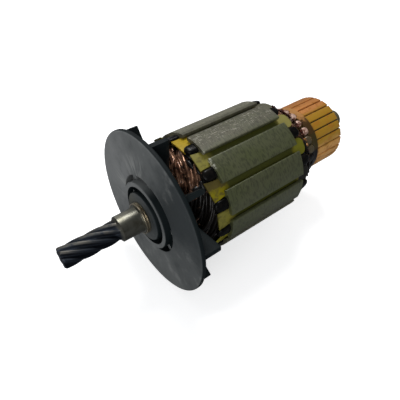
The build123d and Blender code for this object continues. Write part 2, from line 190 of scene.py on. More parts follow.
class Surface:
    """Collects point grids and caps, and turns them into one closed mesh object."""

    def __init__(self) -> None:
        """Starts with no points and no faces."""
        self.points: list[Array] = []
        self.faces: list[Array] = []
        self.count = 0

    def add(self, points: Array, faces: Array) -> None:
        """Adds points and the faces between them.

        Args:
            points: an array of points, of any leading shape.
            faces: rows of three or four indices into those points.
        """
        flat = points.reshape(-1, 3)
        self.points.append(flat)
        self.faces.append(faces + self.count)
        self.count += len(flat)

    def grid(self, points: Array, wrap_rows: bool = False, wrap_columns: bool = False) -> None:
        """Adds a surface given as points on a grid of two parameters.

        Args:
            points: (rows, columns, 3), or (copies, rows, columns, 3) for several alike.
            wrap_rows: whether the last row joins the first.
            wrap_columns: whether the last column joins the first.
        """
        stack = points if points.ndim == 4 else points[None]
        copies, rows, columns = stack.shape[:3]
        index = np.arange(copies * rows * columns).reshape(copies, rows, columns)
        if wrap_rows:
            index = np.concatenate([index, index[:, :1]], axis=1)
        if wrap_columns:
            index = np.concatenate([index, index[:, :, :1]], axis=2)
        corners = [index[:, :-1, :-1], index[:, 1:, :-1], index[:, 1:, 1:], index[:, :-1, 1:]]
        self.add(stack, np.stack(corners, axis=-1).reshape(-1, 4))

    def closed_grid(self, points: Array, both: bool = True) -> None:
        """Adds a grid whose columns wrap, with a pole in the middle of its first and of its last row.

        Args:
            points: (rows, columns, 3), or (copies, rows, columns, 3) for several alike.
            both: whether the last row has a pole too. It has none where its points already meet.
        """
        stack = points if points.ndim == 4 else points[None]
        poles = stack[:, [0, -1]].mean(axis=2, keepdims=True) + 0 * stack[:, [0, -1]]
        rows = [poles[:, :1], stack, poles[:, 1:]] if both else [poles[:, :1], stack]
        self.grid(np.concatenate(rows, axis=1), wrap_columns=True)

    def revolve(self, profile: Array, segments: int = 160, wave: Any = 0.0, closed: bool = False) -> None:
        """Adds a profile turned round the shaft: each (x, radius) goes to every angle.

        Args:
            profile: rows of (x, radius) in metres.
            segments: steps round the shaft.
            wave: what is added to the radius, as a number or a (profile, segments) array.
            closed: whether the profile's last point joins its first, as on a ring.
        """
        angle = np.linspace(0, TAU, segments, endpoint=False)
        radius = np.maximum(profile[:, 1:2] + wave, 0)
        self.grid(polar(profile[:, :1], radius, angle[None]), wrap_rows=closed, wrap_columns=True)

    def prism(self, section: Array, stations: Array, hole: Array, sizes: Array | float = 1.0) -> None:
        """Adds a section in the YZ plane carried along X, with a bore and both ends filled.

        Args:
            section: the closed outline, rows of (y, z) in metres.
            stations: the places along X, in metres.
            hole: a closed outline inside it, which becomes the bore.
            sizes: the section's size at each station, as shares of its own.
        """
        outlines = [section, hole]
        scale = np.broadcast_to(sizes, len(stations))[:, None, None]
        for outline in outlines:
            wall = np.broadcast_to(outline, (len(stations), *outline.shape)) * scale
            along = np.broadcast_to(stations[:, None, None], (*wall.shape[:2], 1))
            self.grid(np.concatenate([along, wall], axis=-1), wrap_columns=True)
        loops = [[Vector((0.0, *p)) for p in outline] for outline in outlines]
        triangles = np.array(tessellate_polygon(loops))
        flat = np.concatenate(outlines)
        for i in (0, -1):
            self.add(np.column_stack([np.full(len(flat), stations[i]), flat * scale[i, 0, 0]]), triangles)

    def tubes(self, paths: Array, radius: Any, reference: Array, sides: int = 6, flat: float = 1.0) -> None:
        """Adds round or flattened tubes along paths, with closed ends.

        A ring stands square to the path at each point: radius times (cosine times the reference
        direction, plus sine times the flattening times the direction square to it and the path).

        Args:
            paths: (copies, stations, 3) in metres.
            radius: one radius, or an array that broadcasts to (copies, stations).
            reference: directions that broadcast to the paths, never along the path.
            sides: points on each ring.
            flat: share of the radius that is left across the reference direction.
        """
        tangent = unit(np.gradient(paths, axis=1))
        lean = np.broadcast_to(reference, paths.shape)
        first = unit(lean - (lean * tangent).sum(-1, keepdims=True) * tangent)
        second = np.cross(tangent, first) * flat
        size = np.broadcast_to(radius, paths.shape[:2])[..., None, None]
        turn = np.linspace(0, TAU, sides, endpoint=False)[:, None]
        rings = first[:, :, None] * np.cos(turn) + second[:, :, None] * np.sin(turn)
        wall = paths[:, :, None] + size * rings
        ends = [np.broadcast_to(paths[:, i, None, None], wall[:, :1].shape) for i in (0, -1)]
        self.grid(np.concatenate([ends[0], wall, ends[1]], axis=1), wrap_columns=True)

    def lumps(self, middle: Array, half: Array, top: float = math.inf) -> None:
        """Adds stretched spheres that bend with the shaft's roundness.

        From its middle a point lies cosine of the steepness times cosine of the turn along the shaft,
        sine of the steepness outwards, and cosine of the steepness times sine of the turn round the
        shaft, as an arc; each is multiplied by its own half size.

        Args:
            middle: rows of (x, radius, angle), in metres and radians.
            half: rows of half sizes along the shaft, outwards and round it, in metres.
            top: the largest radius, at which a lump is cut flat.
        """
        x, radius, angle = middle.T[:, :, None, None]
        along, high, wide = half.T[:, :, None, None]
        steep = np.linspace(-math.pi / 2, math.pi / 2, 9)[:, None]
        turn = np.linspace(0, TAU, 14, endpoint=False)
        out = np.minimum(radius + high * np.sin(steep), top)
        side = wide * np.cos(steep) * np.sin(turn)
        self.grid(polar(x + along * np.cos(steep) * np.cos(turn), out, angle + side / out), wrap_columns=True)

    def build(self, name: str, sharp: float = 35.0) -> bpy.types.Object:
        """Makes the mesh object, with its poles closed and its faces outwards.

        Args:
            name: the piece's name.
            sharp: edges that bend more than this many degrees stay sharp.

        Returns:
            The new object, at the origin, linked to the scene.
        """
        points = np.concatenate(self.points)
        sizes = np.concatenate([np.full(len(f), f.shape[1]) for f in self.faces])
        corners = np.concatenate([f.ravel() for f in self.faces])
        mesh = bpy.data.meshes.new(name)
        mesh.vertices.add(len(points))
        mesh.vertices.foreach_set("co", points.astype(np.float32).ravel())
        mesh.loops.add(len(corners))
        mesh.loops.foreach_set("vertex_index", corners.astype(np.int32))
        mesh.polygons.add(len(sizes))
        mesh.polygons.foreach_set("loop_start", np.concatenate([[0], np.cumsum(sizes)[:-1]]).astype(np.int32))
        mesh.update(calc_edges=True)
        clean_mesh(mesh)
        mesh.shade_smooth()
        mesh.set_sharp_from_angle(angle=math.radians(sharp))
        piece = bpy.data.objects.new(name, mesh)
        bpy.context.scene.collection.objects.link(piece)
        return piece


def clean_mesh(mesh: bpy.types.Mesh) -> None:
    """Merges points that meet, drops faces with no area and turns the rest outwards.

    Args:
        mesh: the mesh, which is changed in place.
    """
    work = bmesh.new()
    work.from_mesh(mesh)
    bmesh.ops.remove_doubles(work, verts=work.verts, dist=1e-7)
    bmesh.ops.dissolve_degenerate(work, edges=work.edges, dist=1e-8)
    bmesh.ops.recalc_face_normals(work, faces=work.faces)
    work.to_mesh(mesh)
    work.free()


class Value:
    """A shader socket that can be used in Python expressions, each of which adds a Math node."""

    def __init__(self, shader: "Shader", socket: Any) -> None:
        """Wraps one output socket of a shader."""
        self.shader = shader
        self.socket = socket

    def _math(self, operation: str, first: Any, second: Any = 0.0) -> "Value":
        """One Math node on two values."""
        return self.shader.math(operation, first, second)

    def __add__(self, other: Any) -> "Value":
        """This value plus another."""
        return self._math("ADD", self, other)

    __radd__ = __add__

    def __sub__(self, other: Any) -> "Value":
        """This value less another."""
        return self._math("SUBTRACT", self, other)

    def __rsub__(self, other: Any) -> "Value":
        """Another value less this one."""
        return self._math("SUBTRACT", other, self)

    def __mul__(self, other: Any) -> "Value":
        """This value times another."""
        return self._math("MULTIPLY", self, other)

    __rmul__ = __mul__

    def __truediv__(self, other: Any) -> "Value":
        """This value divided by another."""
        return self._math("DIVIDE", self, other)

    def __rtruediv__(self, other: Any) -> "Value":
        """Another value divided by this one."""
        return self._math("DIVIDE", other, self)

    def step(self, low: float, high: float) -> "Value":
        """Rises smoothly from 0 to 1 between two values, or falls where the first is above the second.

        Args:
            low: the value where the step is 0.
            high: the value where the step is 1.

        Returns:
            The step, as 3t squared minus 2t cubed.
        """
        settings = {"interpolation_type": "SMOOTHSTEP"}
        if low < high:
            inputs = {"Value": self, "From Min": low, "From Max": high}
        else:
            inputs = {"Value": self, "From Min": high, "From Max": low, "To Min": 1.0, "To Max": 0.0}
        return self.shader.node("ShaderNodeMapRange", settings, inputs, "Result")


class Shader:
    """One node material, built by expressions."""

    def __init__(self, name: str) -> None:
        """Starts a material with its Principled shader and Object coordinates.

        Args:
            name: the material's name.
        """
        self.material = bpy.data.materials.new(name)
        self.material.use_nodes = True
        self.tree = self.material.node_tree
        self.principled = self.tree.nodes["Principled BSDF"]
        self.place = self.node("ShaderNodeTexCoord", {}, {}, "Object")
        self.x, self.y, self.z = self.split(self.place)

    def node(self, kind: str, settings: dict[str, Any], inputs: dict[Any, Any], output: Any = 0) -> Value:
        """Adds any node.

        Args:
            kind: the node's type name.
            settings: its own properties, set first.
            inputs: values or links, by socket name or number.
            output: the output socket's name or number.

        Returns:
            The output as a value.
        """
        made = self.tree.nodes.new(kind)
        for key, value in settings.items():
            setattr(made, key, value)
        for key, value in inputs.items():
            if isinstance(value, Value):
                self.tree.links.new(value.socket, made.inputs[key])
            elif value is not None:
                made.inputs[key].default_value = value
        return Value(self, made.outputs[output])

    def math(self, operation: str, first: Any, second: Any = 0.0) -> Value:
        """A Math node's result for two values or numbers."""
        return self.node("ShaderNodeMath", {"operation": operation}, {0: first, 1: second})

    def angle(self) -> Value:
        """The angle round the shaft in degrees, from +Y towards +Z, from -180 to 180."""
        return self.math("ARCTAN2", self.z, self.y) * (360 / TAU)

    def away(self, middle: float) -> Value:
        """How many degrees a point lies from an angle round the shaft, either way round."""
        turned = self.math("FLOORED_MODULO", self.angle() + (540.0 - middle), 360.0)
        return self.math("ABSOLUTE", turned - 180.0)

    def zone(self, middle: float, far: float, near: float, fray: Value | None = None) -> Value:
        """Rises from 0 to 1 towards an angle round the shaft.

        Args:
            middle: the angle in degrees.
            far: how many degrees from it the rise starts.
            near: how many degrees from it the rise ends.
            fray: degrees added to each point's distance, which break up the zone's edge.

        Returns:
            The share at each point.
        """
        away = self.away(middle)
        return (away if fray is None else away + fray).step(far, near)

    def radius(self) -> Value:
        """The distance from the shaft's axis in millimetres."""
        return self.math("SQRT", self.y * self.y + self.z * self.z) / MM

    def facing(self, low: float, high: float) -> Value:
        """Rises from 0 to 1 as the surface turns to look along -X."""
        normal = self.node("ShaderNodeNewGeometry", {}, {}, "Normal")
        return (self.split(normal)[0] * -1.0).step(low, high)

    def split(self, vector: Value) -> tuple[Value, ...]:
        """The three parts of a vector."""
        parts = self.node("ShaderNodeSeparateXYZ", {}, {0: vector}).socket.node
        return tuple(Value(self, output) for output in parts.outputs)

    def stretch(self, sizes: Sequence[float]) -> Value:
        """Object coordinates divided by a size in millimetres along each axis."""
        scale = tuple(1 / (size * MM) for size in sizes)
        return self.node("ShaderNodeMapping", {}, {"Vector": self.place, "Scale": scale})

    def round_place(self, sizes: Sequence[float], radius_mm: float) -> Value:
        """Coordinates that follow a surface round the shaft: along, round and out.

        Args:
            sizes: what each of the three is divided by, in millimetres.
            radius_mm: the radius at which the angle is measured as a length.

        Returns:
            The coordinates as a vector.
        """
        along = self.x / (sizes[0] * MM)
        turn = self.math("ARCTAN2", self.z, self.y) * (radius_mm / sizes[1])
        out = self.radius() / sizes[2]
        return self.node("ShaderNodeCombineXYZ", {}, {0: along, 1: turn, 2: out})

    def ray(self, kind: str) -> Value:
        """Whether the ray that meets the surface is of a kind, such as Is Camera Ray."""
        return self.node("ShaderNodeLightPath", {}, {}, kind)

    def noise(self, place: Value, detail: float, roughness: float = 0.55) -> Value:
        """A noise pattern's height at a place, about 0.5 with a spread of about 0.2."""
        inputs = {"Vector": place, "Scale": 1.0, "Detail": detail, "Roughness": roughness}
        return self.node("ShaderNodeTexNoise", {}, inputs, "Fac")

    def cloud(self, size: float | Sequence[float], detail: float = 4.0, roughness: float = 0.55) -> Value:
        """Noise in space, of one size in millimetres or of one along each axis."""
        sizes = (size,) * 3 if isinstance(size, float) else size
        return self.noise(self.stretch(sizes), detail, roughness)

    def wrapped(self, sizes: Sequence[float], radius_mm: float, detail: float) -> Value:
        """Noise laid round the shaft, with its sizes along, round and out in millimetres."""
        return self.noise(self.round_place(sizes, radius_mm), detail)

    def blend(self, share: Any, first: Any, second: Any) -> Value:
        """One colour where the share is 0 and another where it is 1."""
        inputs = {0: share, 6: as_colour(first), 7: as_colour(second)}
        return self.node("ShaderNodeMix", {"data_type": "RGBA", "clamp_factor": True}, inputs, 2)

    def layers(self, base: Any, *coats: tuple[Any, Any]) -> Value:
        """Lays colours over each other.

        Args:
            base: the lowest colour.
            *coats: the share and the colour of each coat, in the order in which they are laid.

        Returns:
            The colour of all the coats together.
        """
        colour = base
        for share, coat in coats:
            colour = self.blend(share, colour, coat)
        return colour

    def bump(self, height: Value, depth_mm: float, strength: float = 1.0) -> Value:
        """A bumped normal from a height between 0 and 1."""
        inputs = {"Height": height, "Distance": depth_mm * MM, "Strength": strength}
        return self.node("ShaderNodeBump", {}, inputs, "Normal")

    def finish(self, **sockets: Any) -> bpy.types.Material:
        """Sets the Principled shader's sockets.

        Args:
            **sockets: values, links or numbers by socket name, with an underscore for each space.

        Returns:
            The finished material.
        """
        for key, value in sockets.items():
            socket = self.principled.inputs[key.replace("_", " ")]
            if isinstance(value, Value):
                self.tree.links.new(value.socket, socket)
            else:
                socket.default_value = as_colour(value)
        return self.material


def as_colour(value: Any) -> Any:
    """A three-number colour with an alpha of 1, and anything else as it is."""
    return (*value, 1.0) if isinstance(value, tuple) and len(value) == 3 else value


def node_points(node: str) -> Array:
    """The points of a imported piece.

    Args:
        node: the piece's name.

    Returns:
        Rows of (x, y, z) in metres.
    """
    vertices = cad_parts[node].data.vertices
    flat = np.zeros(len(vertices) * 3, np.float32)
    vertices.foreach_get("co", flat)
    return flat.reshape(-1, 3).astype(float)


def reach(node: str) -> float:
    """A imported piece's largest distance from the shaft's axis, in metres."""
    points = node_points(node)
    return float(np.hypot(points[:, 1], points[:, 2]).max())


@dataclass(frozen=True)
class Layout:
    """Places along the shaft and radii, in metres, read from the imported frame."""

    tip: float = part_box("shaft")[0].x
    shaft_end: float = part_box("shaft")[1].x
    ring_front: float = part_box("thrust_ring")[0].x
    ring_rear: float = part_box("thrust_ring")[1].x
    ring_radius: float = reach("thrust_ring")
    fan_front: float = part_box("fan")[0].x
    fan_rear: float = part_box("fan")[1].x
    fan_radius: float = reach("fan")
    core_front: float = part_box("lamination_stack")[0].x
    core_rear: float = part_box("lamination_stack")[1].x
    core_radius: float = reach("lamination_stack")
    bush_front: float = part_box("commutator_bush")[0].x
    bar_front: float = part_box("commutator_bars")[0].x
    bar_rear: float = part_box("commutator_bars")[1].x
    bar_radius: float = reach("commutator_hub") + 0.66 * MM
    hook_radius: float = reach("commutator_bars")


PLACES = Layout()


@dataclass(frozen=True)
class TurnedSteel:
    """Turned steel: fine rings and warm stains, oiled in front of one place and dull behind another."""

    name: str
    base: Colour
    stain: Colour
    roughness: float
    oiled_before: float = -1.0
    dull_after: float = 1.0
    oiled: Colour = (0.038, 0.046, 0.06)
    crest_highlight: Colour = (0.14, 0.135, 0.12)
    dull: Colour = (0.09, 0.08, 0.042)
    crest_highlight_angle: float = 78.0

    def material(self) -> bpy.types.Material:
        """Builds the material. The oiled teeth's tips on the lit side get a painted highlight.

        Returns:
            The material.
        """
        shader = Shader(self.name)
        rings = shader.wrapped((0.10, 14.0, 30.0), SHAFT_MM, 2.0)
        cloud = shader.cloud(2.6)
        oil = shader.x.step(self.oiled_before + 0.4 * MM, self.oiled_before - 0.6 * MM)
        dull = shader.x.step(self.dull_after, self.dull_after + 0.5 * MM)
        # A painted highlight on the teeth's tips, on the lit side only.
        crest_highlight = shader.radius().step(2.5, 3.2) * shader.zone(self.crest_highlight_angle, 75.0, 25.0)
        crest_highlight = crest_highlight * cloud.step(0.25, 0.6)
        colour = shader.layers(
            self.base,
            (cloud.step(0.42, 0.72), self.stain),
            ((rings - 0.5) * 0.5 + 0.2, self.stain),
            (oil, shader.blend(crest_highlight, self.oiled, self.crest_highlight)),
            (dull, self.dull),
        )
        return shader.finish(
            Base_Color=colour,
            Metallic=1.0 - dull * 0.85,
            Roughness=rings * 0.16 + self.roughness + oil * 0.16 + dull * 0.2,
            Normal=shader.bump(rings, 0.004, 0.2),
        )


@dataclass(frozen=True)
class FanMoulding:
    """Dark moulded plastic: its front grey with mottling and faint radial streaks, partly a grey finish and
    partly painted light; more painted light at one angle, painted shade at another and lower down, a darker
    boss with painted shade in the inner groove; its upper blades with dust and painted light.
    """

    name: str = "fan_moulding"
    dark: Colour = (0.006, 0.0095, 0.0105)
    grey: Colour = (0.12, 0.126, 0.124)
    pale: Colour = (0.195, 0.2, 0.198)
    shade: Colour = (0.028, 0.033, 0.035)
    streak: Colour = (0.27, 0.275, 0.265)
    stain: Colour = (0.1, 0.098, 0.075)
    dust: Colour = (0.05, 0.04, 0.03)
    face_mm: float = 5.5
    painted_light_angle: float = 14.0
    shaded_angle: float = 145.0
    streaked_angles: tuple[float, float] = (6.0, 76.0)
    boss_angle: float = -20.0
    lit_blade_angle: float = 94.0

    def material(self) -> bpy.types.Material:
        """Builds the material.

        The grey parts are the faces in front that look along -X, partly a grey finish and partly painted
        light as the rim and sides stay dark, and one side of the groove's outer wall, which is painted light.
        Radii are in millimetres.

        Returns:
            The material.
        """
        shader = Shader(self.name)
        radius = shader.radius()
        grain = shader.cloud(0.25, 2.0)
        cloud = shader.wrapped((30.0, 5.0, 7.0), 18.0, 4.0)
        patch = shader.cloud((12.0, 6.5, 6.5), 5.0, 0.6)
        rays = shader.wrapped((30.0, 1.5, 9.0), 15.0, 3.0).step(0.47, 0.62)
        near_boss = radius.step(22.0, 14.5) * radius.step(12.0, 13.0)
        left, right = self.streaked_angles
        wiped = (shader.zone(left, 26.0, 8.0) + shader.zone(right, 34.0, 14.0)) * near_boss
        fray = (cloud - 0.5) * 34.0
        boss = shader.zone(self.boss_angle, 110.0, 40.0) * radius.step(8.6, 7.6)
        # Over the grey: painted light at one angle, painted shade at another and lower down, random mottling,
        # streaks, a paler ring, the boss's darker tone with painted shade in the inner groove, and a warm
        # stain on the boss.
        face = shader.layers(
            self.grey,
            (shader.zone(self.painted_light_angle, 80.0, 12.0, fray), self.pale),
            (shader.zone(self.shaded_angle, 54.0, 10.0, fray) * 0.9, self.shade),
            (shader.zone(198.0, 40.0, 15.0) * 0.35, self.shade),
            (patch.step(0.5, 0.72) * 0.35, self.shade),
            (patch.step(0.48, 0.3) * 0.3, self.streak),
            (rays * wiped * 0.8, self.streak),
            (radius.step(10.9, 10.7) * radius.step(9.4, 9.6) * 0.4, self.pale),
            (radius.step(9.2, 9.0) * 0.6, self.shade),
            (boss * (cloud * 0.7 + 0.25), self.stain),
        )
        # The groove's outer wall is grey on one side only: painted light.
        wall = shader.zone(60.0, 60.0, 25.0) * radius.step(10.0, 10.9) * radius.step(13.0, 12.8)
        brink = PLACES.fan_front + self.face_mm * MM
        front = shader.x.step(brink, brink - 0.8 * MM)
        # Grey where the surface looks along -X: partly a grey finish, partly painted light, as the rim and
        # sides stay dark.
        grey_finish_and_light = shader.math("MAXIMUM", shader.facing(0.35, 0.9), wall * 0.8) * front
        behind = shader.x.step(PLACES.fan_front + 8.0 * MM, PLACES.fan_front + 9.5 * MM)
        # Dust on the upper blades only: partly dust, partly painted light, as the lower blades stay dark.
        upper_blade_dust_and_light = behind * cloud.step(0.45, 0.65) * shader.zone(self.lit_blade_angle, 75.0, 55.0)
        return shader.finish(
            Base_Color=shader.layers(self.dark, (upper_blade_dust_and_light * 0.6, self.dust), (grey_finish_and_light, face)),
            Roughness=grain * 0.1 + 0.55 - grey_finish_and_light * 0.03,
            Specular_IOR_Level=0.12,
            Normal=shader.bump(grain, 0.012, 0.5),
        )


@dataclass(frozen=True)
class VarnishedSheets:
    """Steel sheets seen edge on: one tooth lightened by a painted highlight, the next browned and scratched,
    the rest varnished olive.
    """

    name: str = "varnished_sheets"
    steel: Colour = (0.12, 0.114, 0.075)
    painted_highlight: Colour = (0.24, 0.23, 0.17)
    browned: Colour = (0.06, 0.052, 0.03)
    olive: Colour = (0.079, 0.089, 0.037)
    dark: Colour = (0.05, 0.05, 0.034)
    grain: Colour = (0.018, 0.019, 0.011)
    bead_and_glint: Colour = (0.6, 0.6, 0.5)
    scratch: Colour = (0.4, 0.38, 0.31)
    line_mm: float = 0.225
    painted_highlight_angle: float = 62.0
    scratched_angle: float = 92.0
    bead_glint_angle: float = 115.0
    varnished_angle: float = 152.0

    def material(self) -> bpy.types.Material:
        """Builds the material. The white specks at one tooth's front edge are partly set varnish and partly
        painted glints.

        Returns:
            The material.
        """
        shader = Shader(self.name)
        lines = shader.wrapped((self.line_mm, 9.0, 9.0), CORE_MM, 2.0)
        hatch = shader.wrapped((0.5, 1.5, 9.0), CORE_MM, 2.0)
        mottle = shader.wrapped((3.2, 2.6, 9.0), CORE_MM, 4.0)
        cloud = shader.wrapped((9.0, 6.0, 9.0), CORE_MM, 4.0)
        speck = shader.cloud(0.5, 3.0)
        thick = shader.zone(self.varnished_angle, 52.0, 38.0) * 0.75 + cloud.step(0.4, 0.75) * 0.4
        strokes = shader.wrapped((2.4, 0.2, 9.0), CORE_MM, 1.0).step(0.66, 0.7)
        crossing = shader.wrapped((0.22, 1.7, 9.0), CORE_MM, 1.0).step(0.67, 0.71)
        scratches = shader.math("MAXIMUM", strokes, crossing) * shader.zone(self.scratched_angle, 12.0, 5.0)
        end = shader.x.step(PLACES.core_front + 0.8 * MM, PLACES.core_front + 0.1 * MM)
        # White specks along one tooth's front edge: partly set varnish, partly painted glints.
        edge = end * speck.step(0.4, 0.55) * shader.zone(self.bead_glint_angle, 12.0, 5.0)
        colour = shader.layers(
            self.steel,
            ((lines - 0.5) * 1.8 + 0.35, self.dark),
            # One tooth lightened all over: a painted highlight.
            (shader.zone(self.painted_highlight_angle, 14.0, 8.0) * 0.7, self.painted_highlight),
            (shader.zone(self.scratched_angle, 15.0, 9.0) * 0.35, self.browned),
            (thick, self.olive),
            (hatch.step(0.47, 0.62) * 0.42, self.grain),
            (mottle.step(0.5, 0.68) * 0.14, self.grain),
            (lines.step(0.55, 0.75) * 0.35, self.steel),
            (scratches * 0.8, self.scratch),
            (edge * 0.8, self.bead_and_glint),
        )
        return shader.finish(
            Base_Color=colour,
            Metallic=0.25,
            Roughness=0.5 - thick * 0.2 + speck * 0.15,
            Coat_Weight=thick * 0.5,
            Coat_Roughness=0.25,
            Normal=shader.bump(lines * 0.6 + speck * 0.4, 0.06, 0.8),
        )


class StripTone(Enum):
    """Colours of the slot strips: body, stain and rear end, then 1 where a painted shadow darkens the upper
    side. The stain colour also serves for that painted shadow and for painted shade on the front end face.
    """

    BRIGHT = ((0.4, 0.27, 0.012), (0.31, 0.215, 0.012), (0.11, 0.105, 0.07), 0.0)
    GOLD = ((0.2, 0.17, 0.003), (0.09, 0.07, 0.016), (0.12, 0.115, 0.008), 1.0)
    PALE = ((0.19, 0.17, 0.03), (0.11, 0.095, 0.02), (0.21, 0.185, 0.05), 0.0)
    # Near-black at the rear end: painted shade.
    STAINED = ((0.19, 0.17, 0.03), (0.11, 0.095, 0.02), (0.01, 0.009, 0.006), 0.0)
    OLIVE = ((0.27, 0.24, 0.02), (0.1, 0.095, 0.012), (0.05, 0.05, 0.01), 0.0)


@dataclass(frozen=True)
class FibreStrip:
    """Varnished fibre: yellow to olive with random stains, a painted shadow on some strips' upper side,
    painted shade on the front end face, inside the slot and at one tone's rear end.
    """

    tone: StripTone
    # The strip's colour inside the slot: painted shade.
    inside: Colour = (0.036, 0.041, 0.006)
    slot_angle: float = 20.8
    pitch: float = 30.0

    def material(self) -> bpy.types.Material:
        """Builds the material. A strip's upper side is the half with the smaller angle round the shaft.

        Returns:
            The material.
        """
        shader = Shader(f"strip_{self.tone.name.lower()}")
        body, stain, rear, run = self.tone.value
        cloud = shader.cloud((1.6, 1.1, 1.1))
        fine = shader.cloud(0.3, 2.0)
        turned = shader.angle() + (360.0 + self.pitch / 2 - self.slot_angle)
        across = shader.math("FLOORED_MODULO", turned, self.pitch) - self.pitch / 2
        # A painted shadow on the upper side, where the tone asks for it.
        upper = (across + (cloud - 0.5) * 16.0).step(0.5, -2.0) * run
        # The part inside the slot, which gets painted shade.
        in_slot_shade = shader.x.step(PLACES.core_front + 0.3 * MM, PLACES.core_front + 3.5 * MM)
        in_slot_shade = in_slot_shade * shader.x.step(PLACES.core_rear + 0.2 * MM, PLACES.core_rear - 2.0 * MM)
        colour = shader.layers(
            body,
            (cloud.step(0.45, 0.72), stain),
            (upper, stain),
            # Darker where the end face looks along -X: painted shade.
            (shader.facing(0.5, 0.8) * 0.7, stain),
            # The rear end's colour, which on one tone is near-black painted shade.
            (shader.x.step(PLACES.core_rear - 1.0 * MM, PLACES.core_rear), rear),
            (in_slot_shade * 0.95, self.inside),
        )
        return shader.finish(
            Base_Color=colour,
            Roughness=fine * 0.2 + 0.3,
            Specular_IOR_Level=0.2,
            Coat_Weight=0.08,
            Normal=shader.bump(fine, 0.02, 0.5),
        )


@dataclass(frozen=True)
class Moulded:
    """Plain moulded plastic, paper or set resin with a fine grain."""

    name: str
    base: Colour
    other: Colour
    roughness: float
    coat: float = 0.0
    gloss: float = 0.5
    cloud_mm: float = 1.4

    def material(self) -> bpy.types.Material:
        """Builds the material.

        Returns:
            The material.
        """
        shader = Shader(self.name)
        cloud = shader.cloud(self.cloud_mm)
        return shader.finish(
            Base_Color=shader.blend(cloud.step(0.4, 0.7), self.base, self.other),
            Roughness=cloud * 0.15 + self.roughness,
            Specular_IOR_Level=self.gloss,
            Coat_Weight=self.coat,
            Coat_Roughness=0.08,
            Normal=shader.bump(cloud, 0.05, 0.5),
        )


@dataclass(frozen=True)
class MagnetWire:
    """Enamelled copper wire: browned, veined with resin, bare in spots, with a painted highlight at one angle
    and painted shade round another.
    """

    name: str
    copper: Colour = (0.36, 0.195, 0.118)
    brown: Colour = (0.125, 0.058, 0.034)
    resin_and_shade: Colour = (0.008, 0.006, 0.005)
    bare: Colour = (0.75, 0.47, 0.32)
    painted_glint_band: Colour = (0.42, 0.2, 0.07)
    dark_angle: float = 184.0
    painted_glint_angle: float = 40.0

    def material(self) -> bpy.types.Material:
        """Builds the material. The darkest colour is resin, in veins and close to the core, and painted shade
        round the dark angle; near the fan it is lightened by painted light.

        Returns:
            The material.
        """
        shader = Shader(self.name)
        cloud = shader.cloud(2.2)
        veins = shader.cloud(1.0)
        fine = shader.cloud(0.6, 2.0)
        near_core = shader.x.step(PLACES.core_front - 6.0 * MM, PLACES.core_front - 2.5 * MM)
        near_core = near_core * shader.x.step(PLACES.core_rear + 8.0 * MM, PLACES.core_rear + 3.0 * MM)
        # Less dark near the fan: painted light where the fan shades the wires.
        painted_light_near_fan = shader.x.step(PLACES.core_front - 5.0 * MM, PLACES.core_front - 7.0 * MM)
        # Darker round the dark angle: painted shade.
        low = shader.zone(self.dark_angle, 52.0, 36.0) * 0.4
        resin_and_shade = (cloud + near_core * 0.03 - painted_light_near_fan * 0.1 + low).step(0.56, 0.7)
        colour = shader.layers(
            self.copper,
            (cloud.step(0.4, 0.6), self.brown),
            (cloud.step(0.4, 0.3) * fine.step(0.45, 0.6), self.bare),
            (veins.step(0.54, 0.64) * 0.75, self.resin_and_shade),
            (fine.step(0.56, 0.66) * veins.step(0.52, 0.44) * 0.7, self.bare),
            # A narrow band at one angle: a painted highlight.
            (shader.zone(self.painted_glint_angle, 9.0, 5.0), self.painted_glint_band),
            (resin_and_shade, self.resin_and_shade),
        )
        return shader.finish(
            Base_Color=colour,
            Metallic=0.7 - resin_and_shade * 0.6,
            Roughness=fine * 0.2 + 0.25,
            Specular_IOR_Level=0.3,
            Coat_Weight=0.3 - resin_and_shade * 0.2,
            Coat_Roughness=0.08,
            Normal=shader.bump(fine, 0.05, 0.7),
        )


@dataclass(frozen=True)
class DripResin:
    """Resin run over the bars: a thin brown skin at the top, dark lower down and black lowest, where it is
    partly resin and partly painted shade.
    """

    name: str = "drip_resin"
    thin: Colour = (0.4, 0.19, 0.06)
    dark: Colour = (0.024, 0.014, 0.004)
    olive: Colour = (0.042, 0.034, 0.01)
    black: Colour = (0.004, 0.003, 0.003)
    dark_angle: float = 150.0
    olive_angle: float = 152.0
    black_angle: float = 204.0

    def material(self) -> bpy.types.Material:
        """Builds the material.

        Returns:
            The material.
        """
        shader = Shader(self.name)
        cloud = shader.cloud(0.9, 3.0)
        fray = (cloud - 0.5) * 30.0
        colour = shader.layers(
            self.thin,
            (shader.zone(self.dark_angle, 52.0, 30.0, fray) * 0.92, self.dark),
            (shader.zone(self.olive_angle, 18.0, 10.0, fray * 0.5) * 0.8, self.olive),
            # Black lowest: partly resin, partly painted shade.
            (shader.zone(self.black_angle, 42.0, 36.0, fray * 0.2), self.black),
        )
        return shader.finish(
            Base_Color=colour,
            Roughness=cloud * 0.2 + 0.25,
            Specular_IOR_Level=0.2,
            Normal=shader.bump(cloud, 0.08, 0.6),
        )


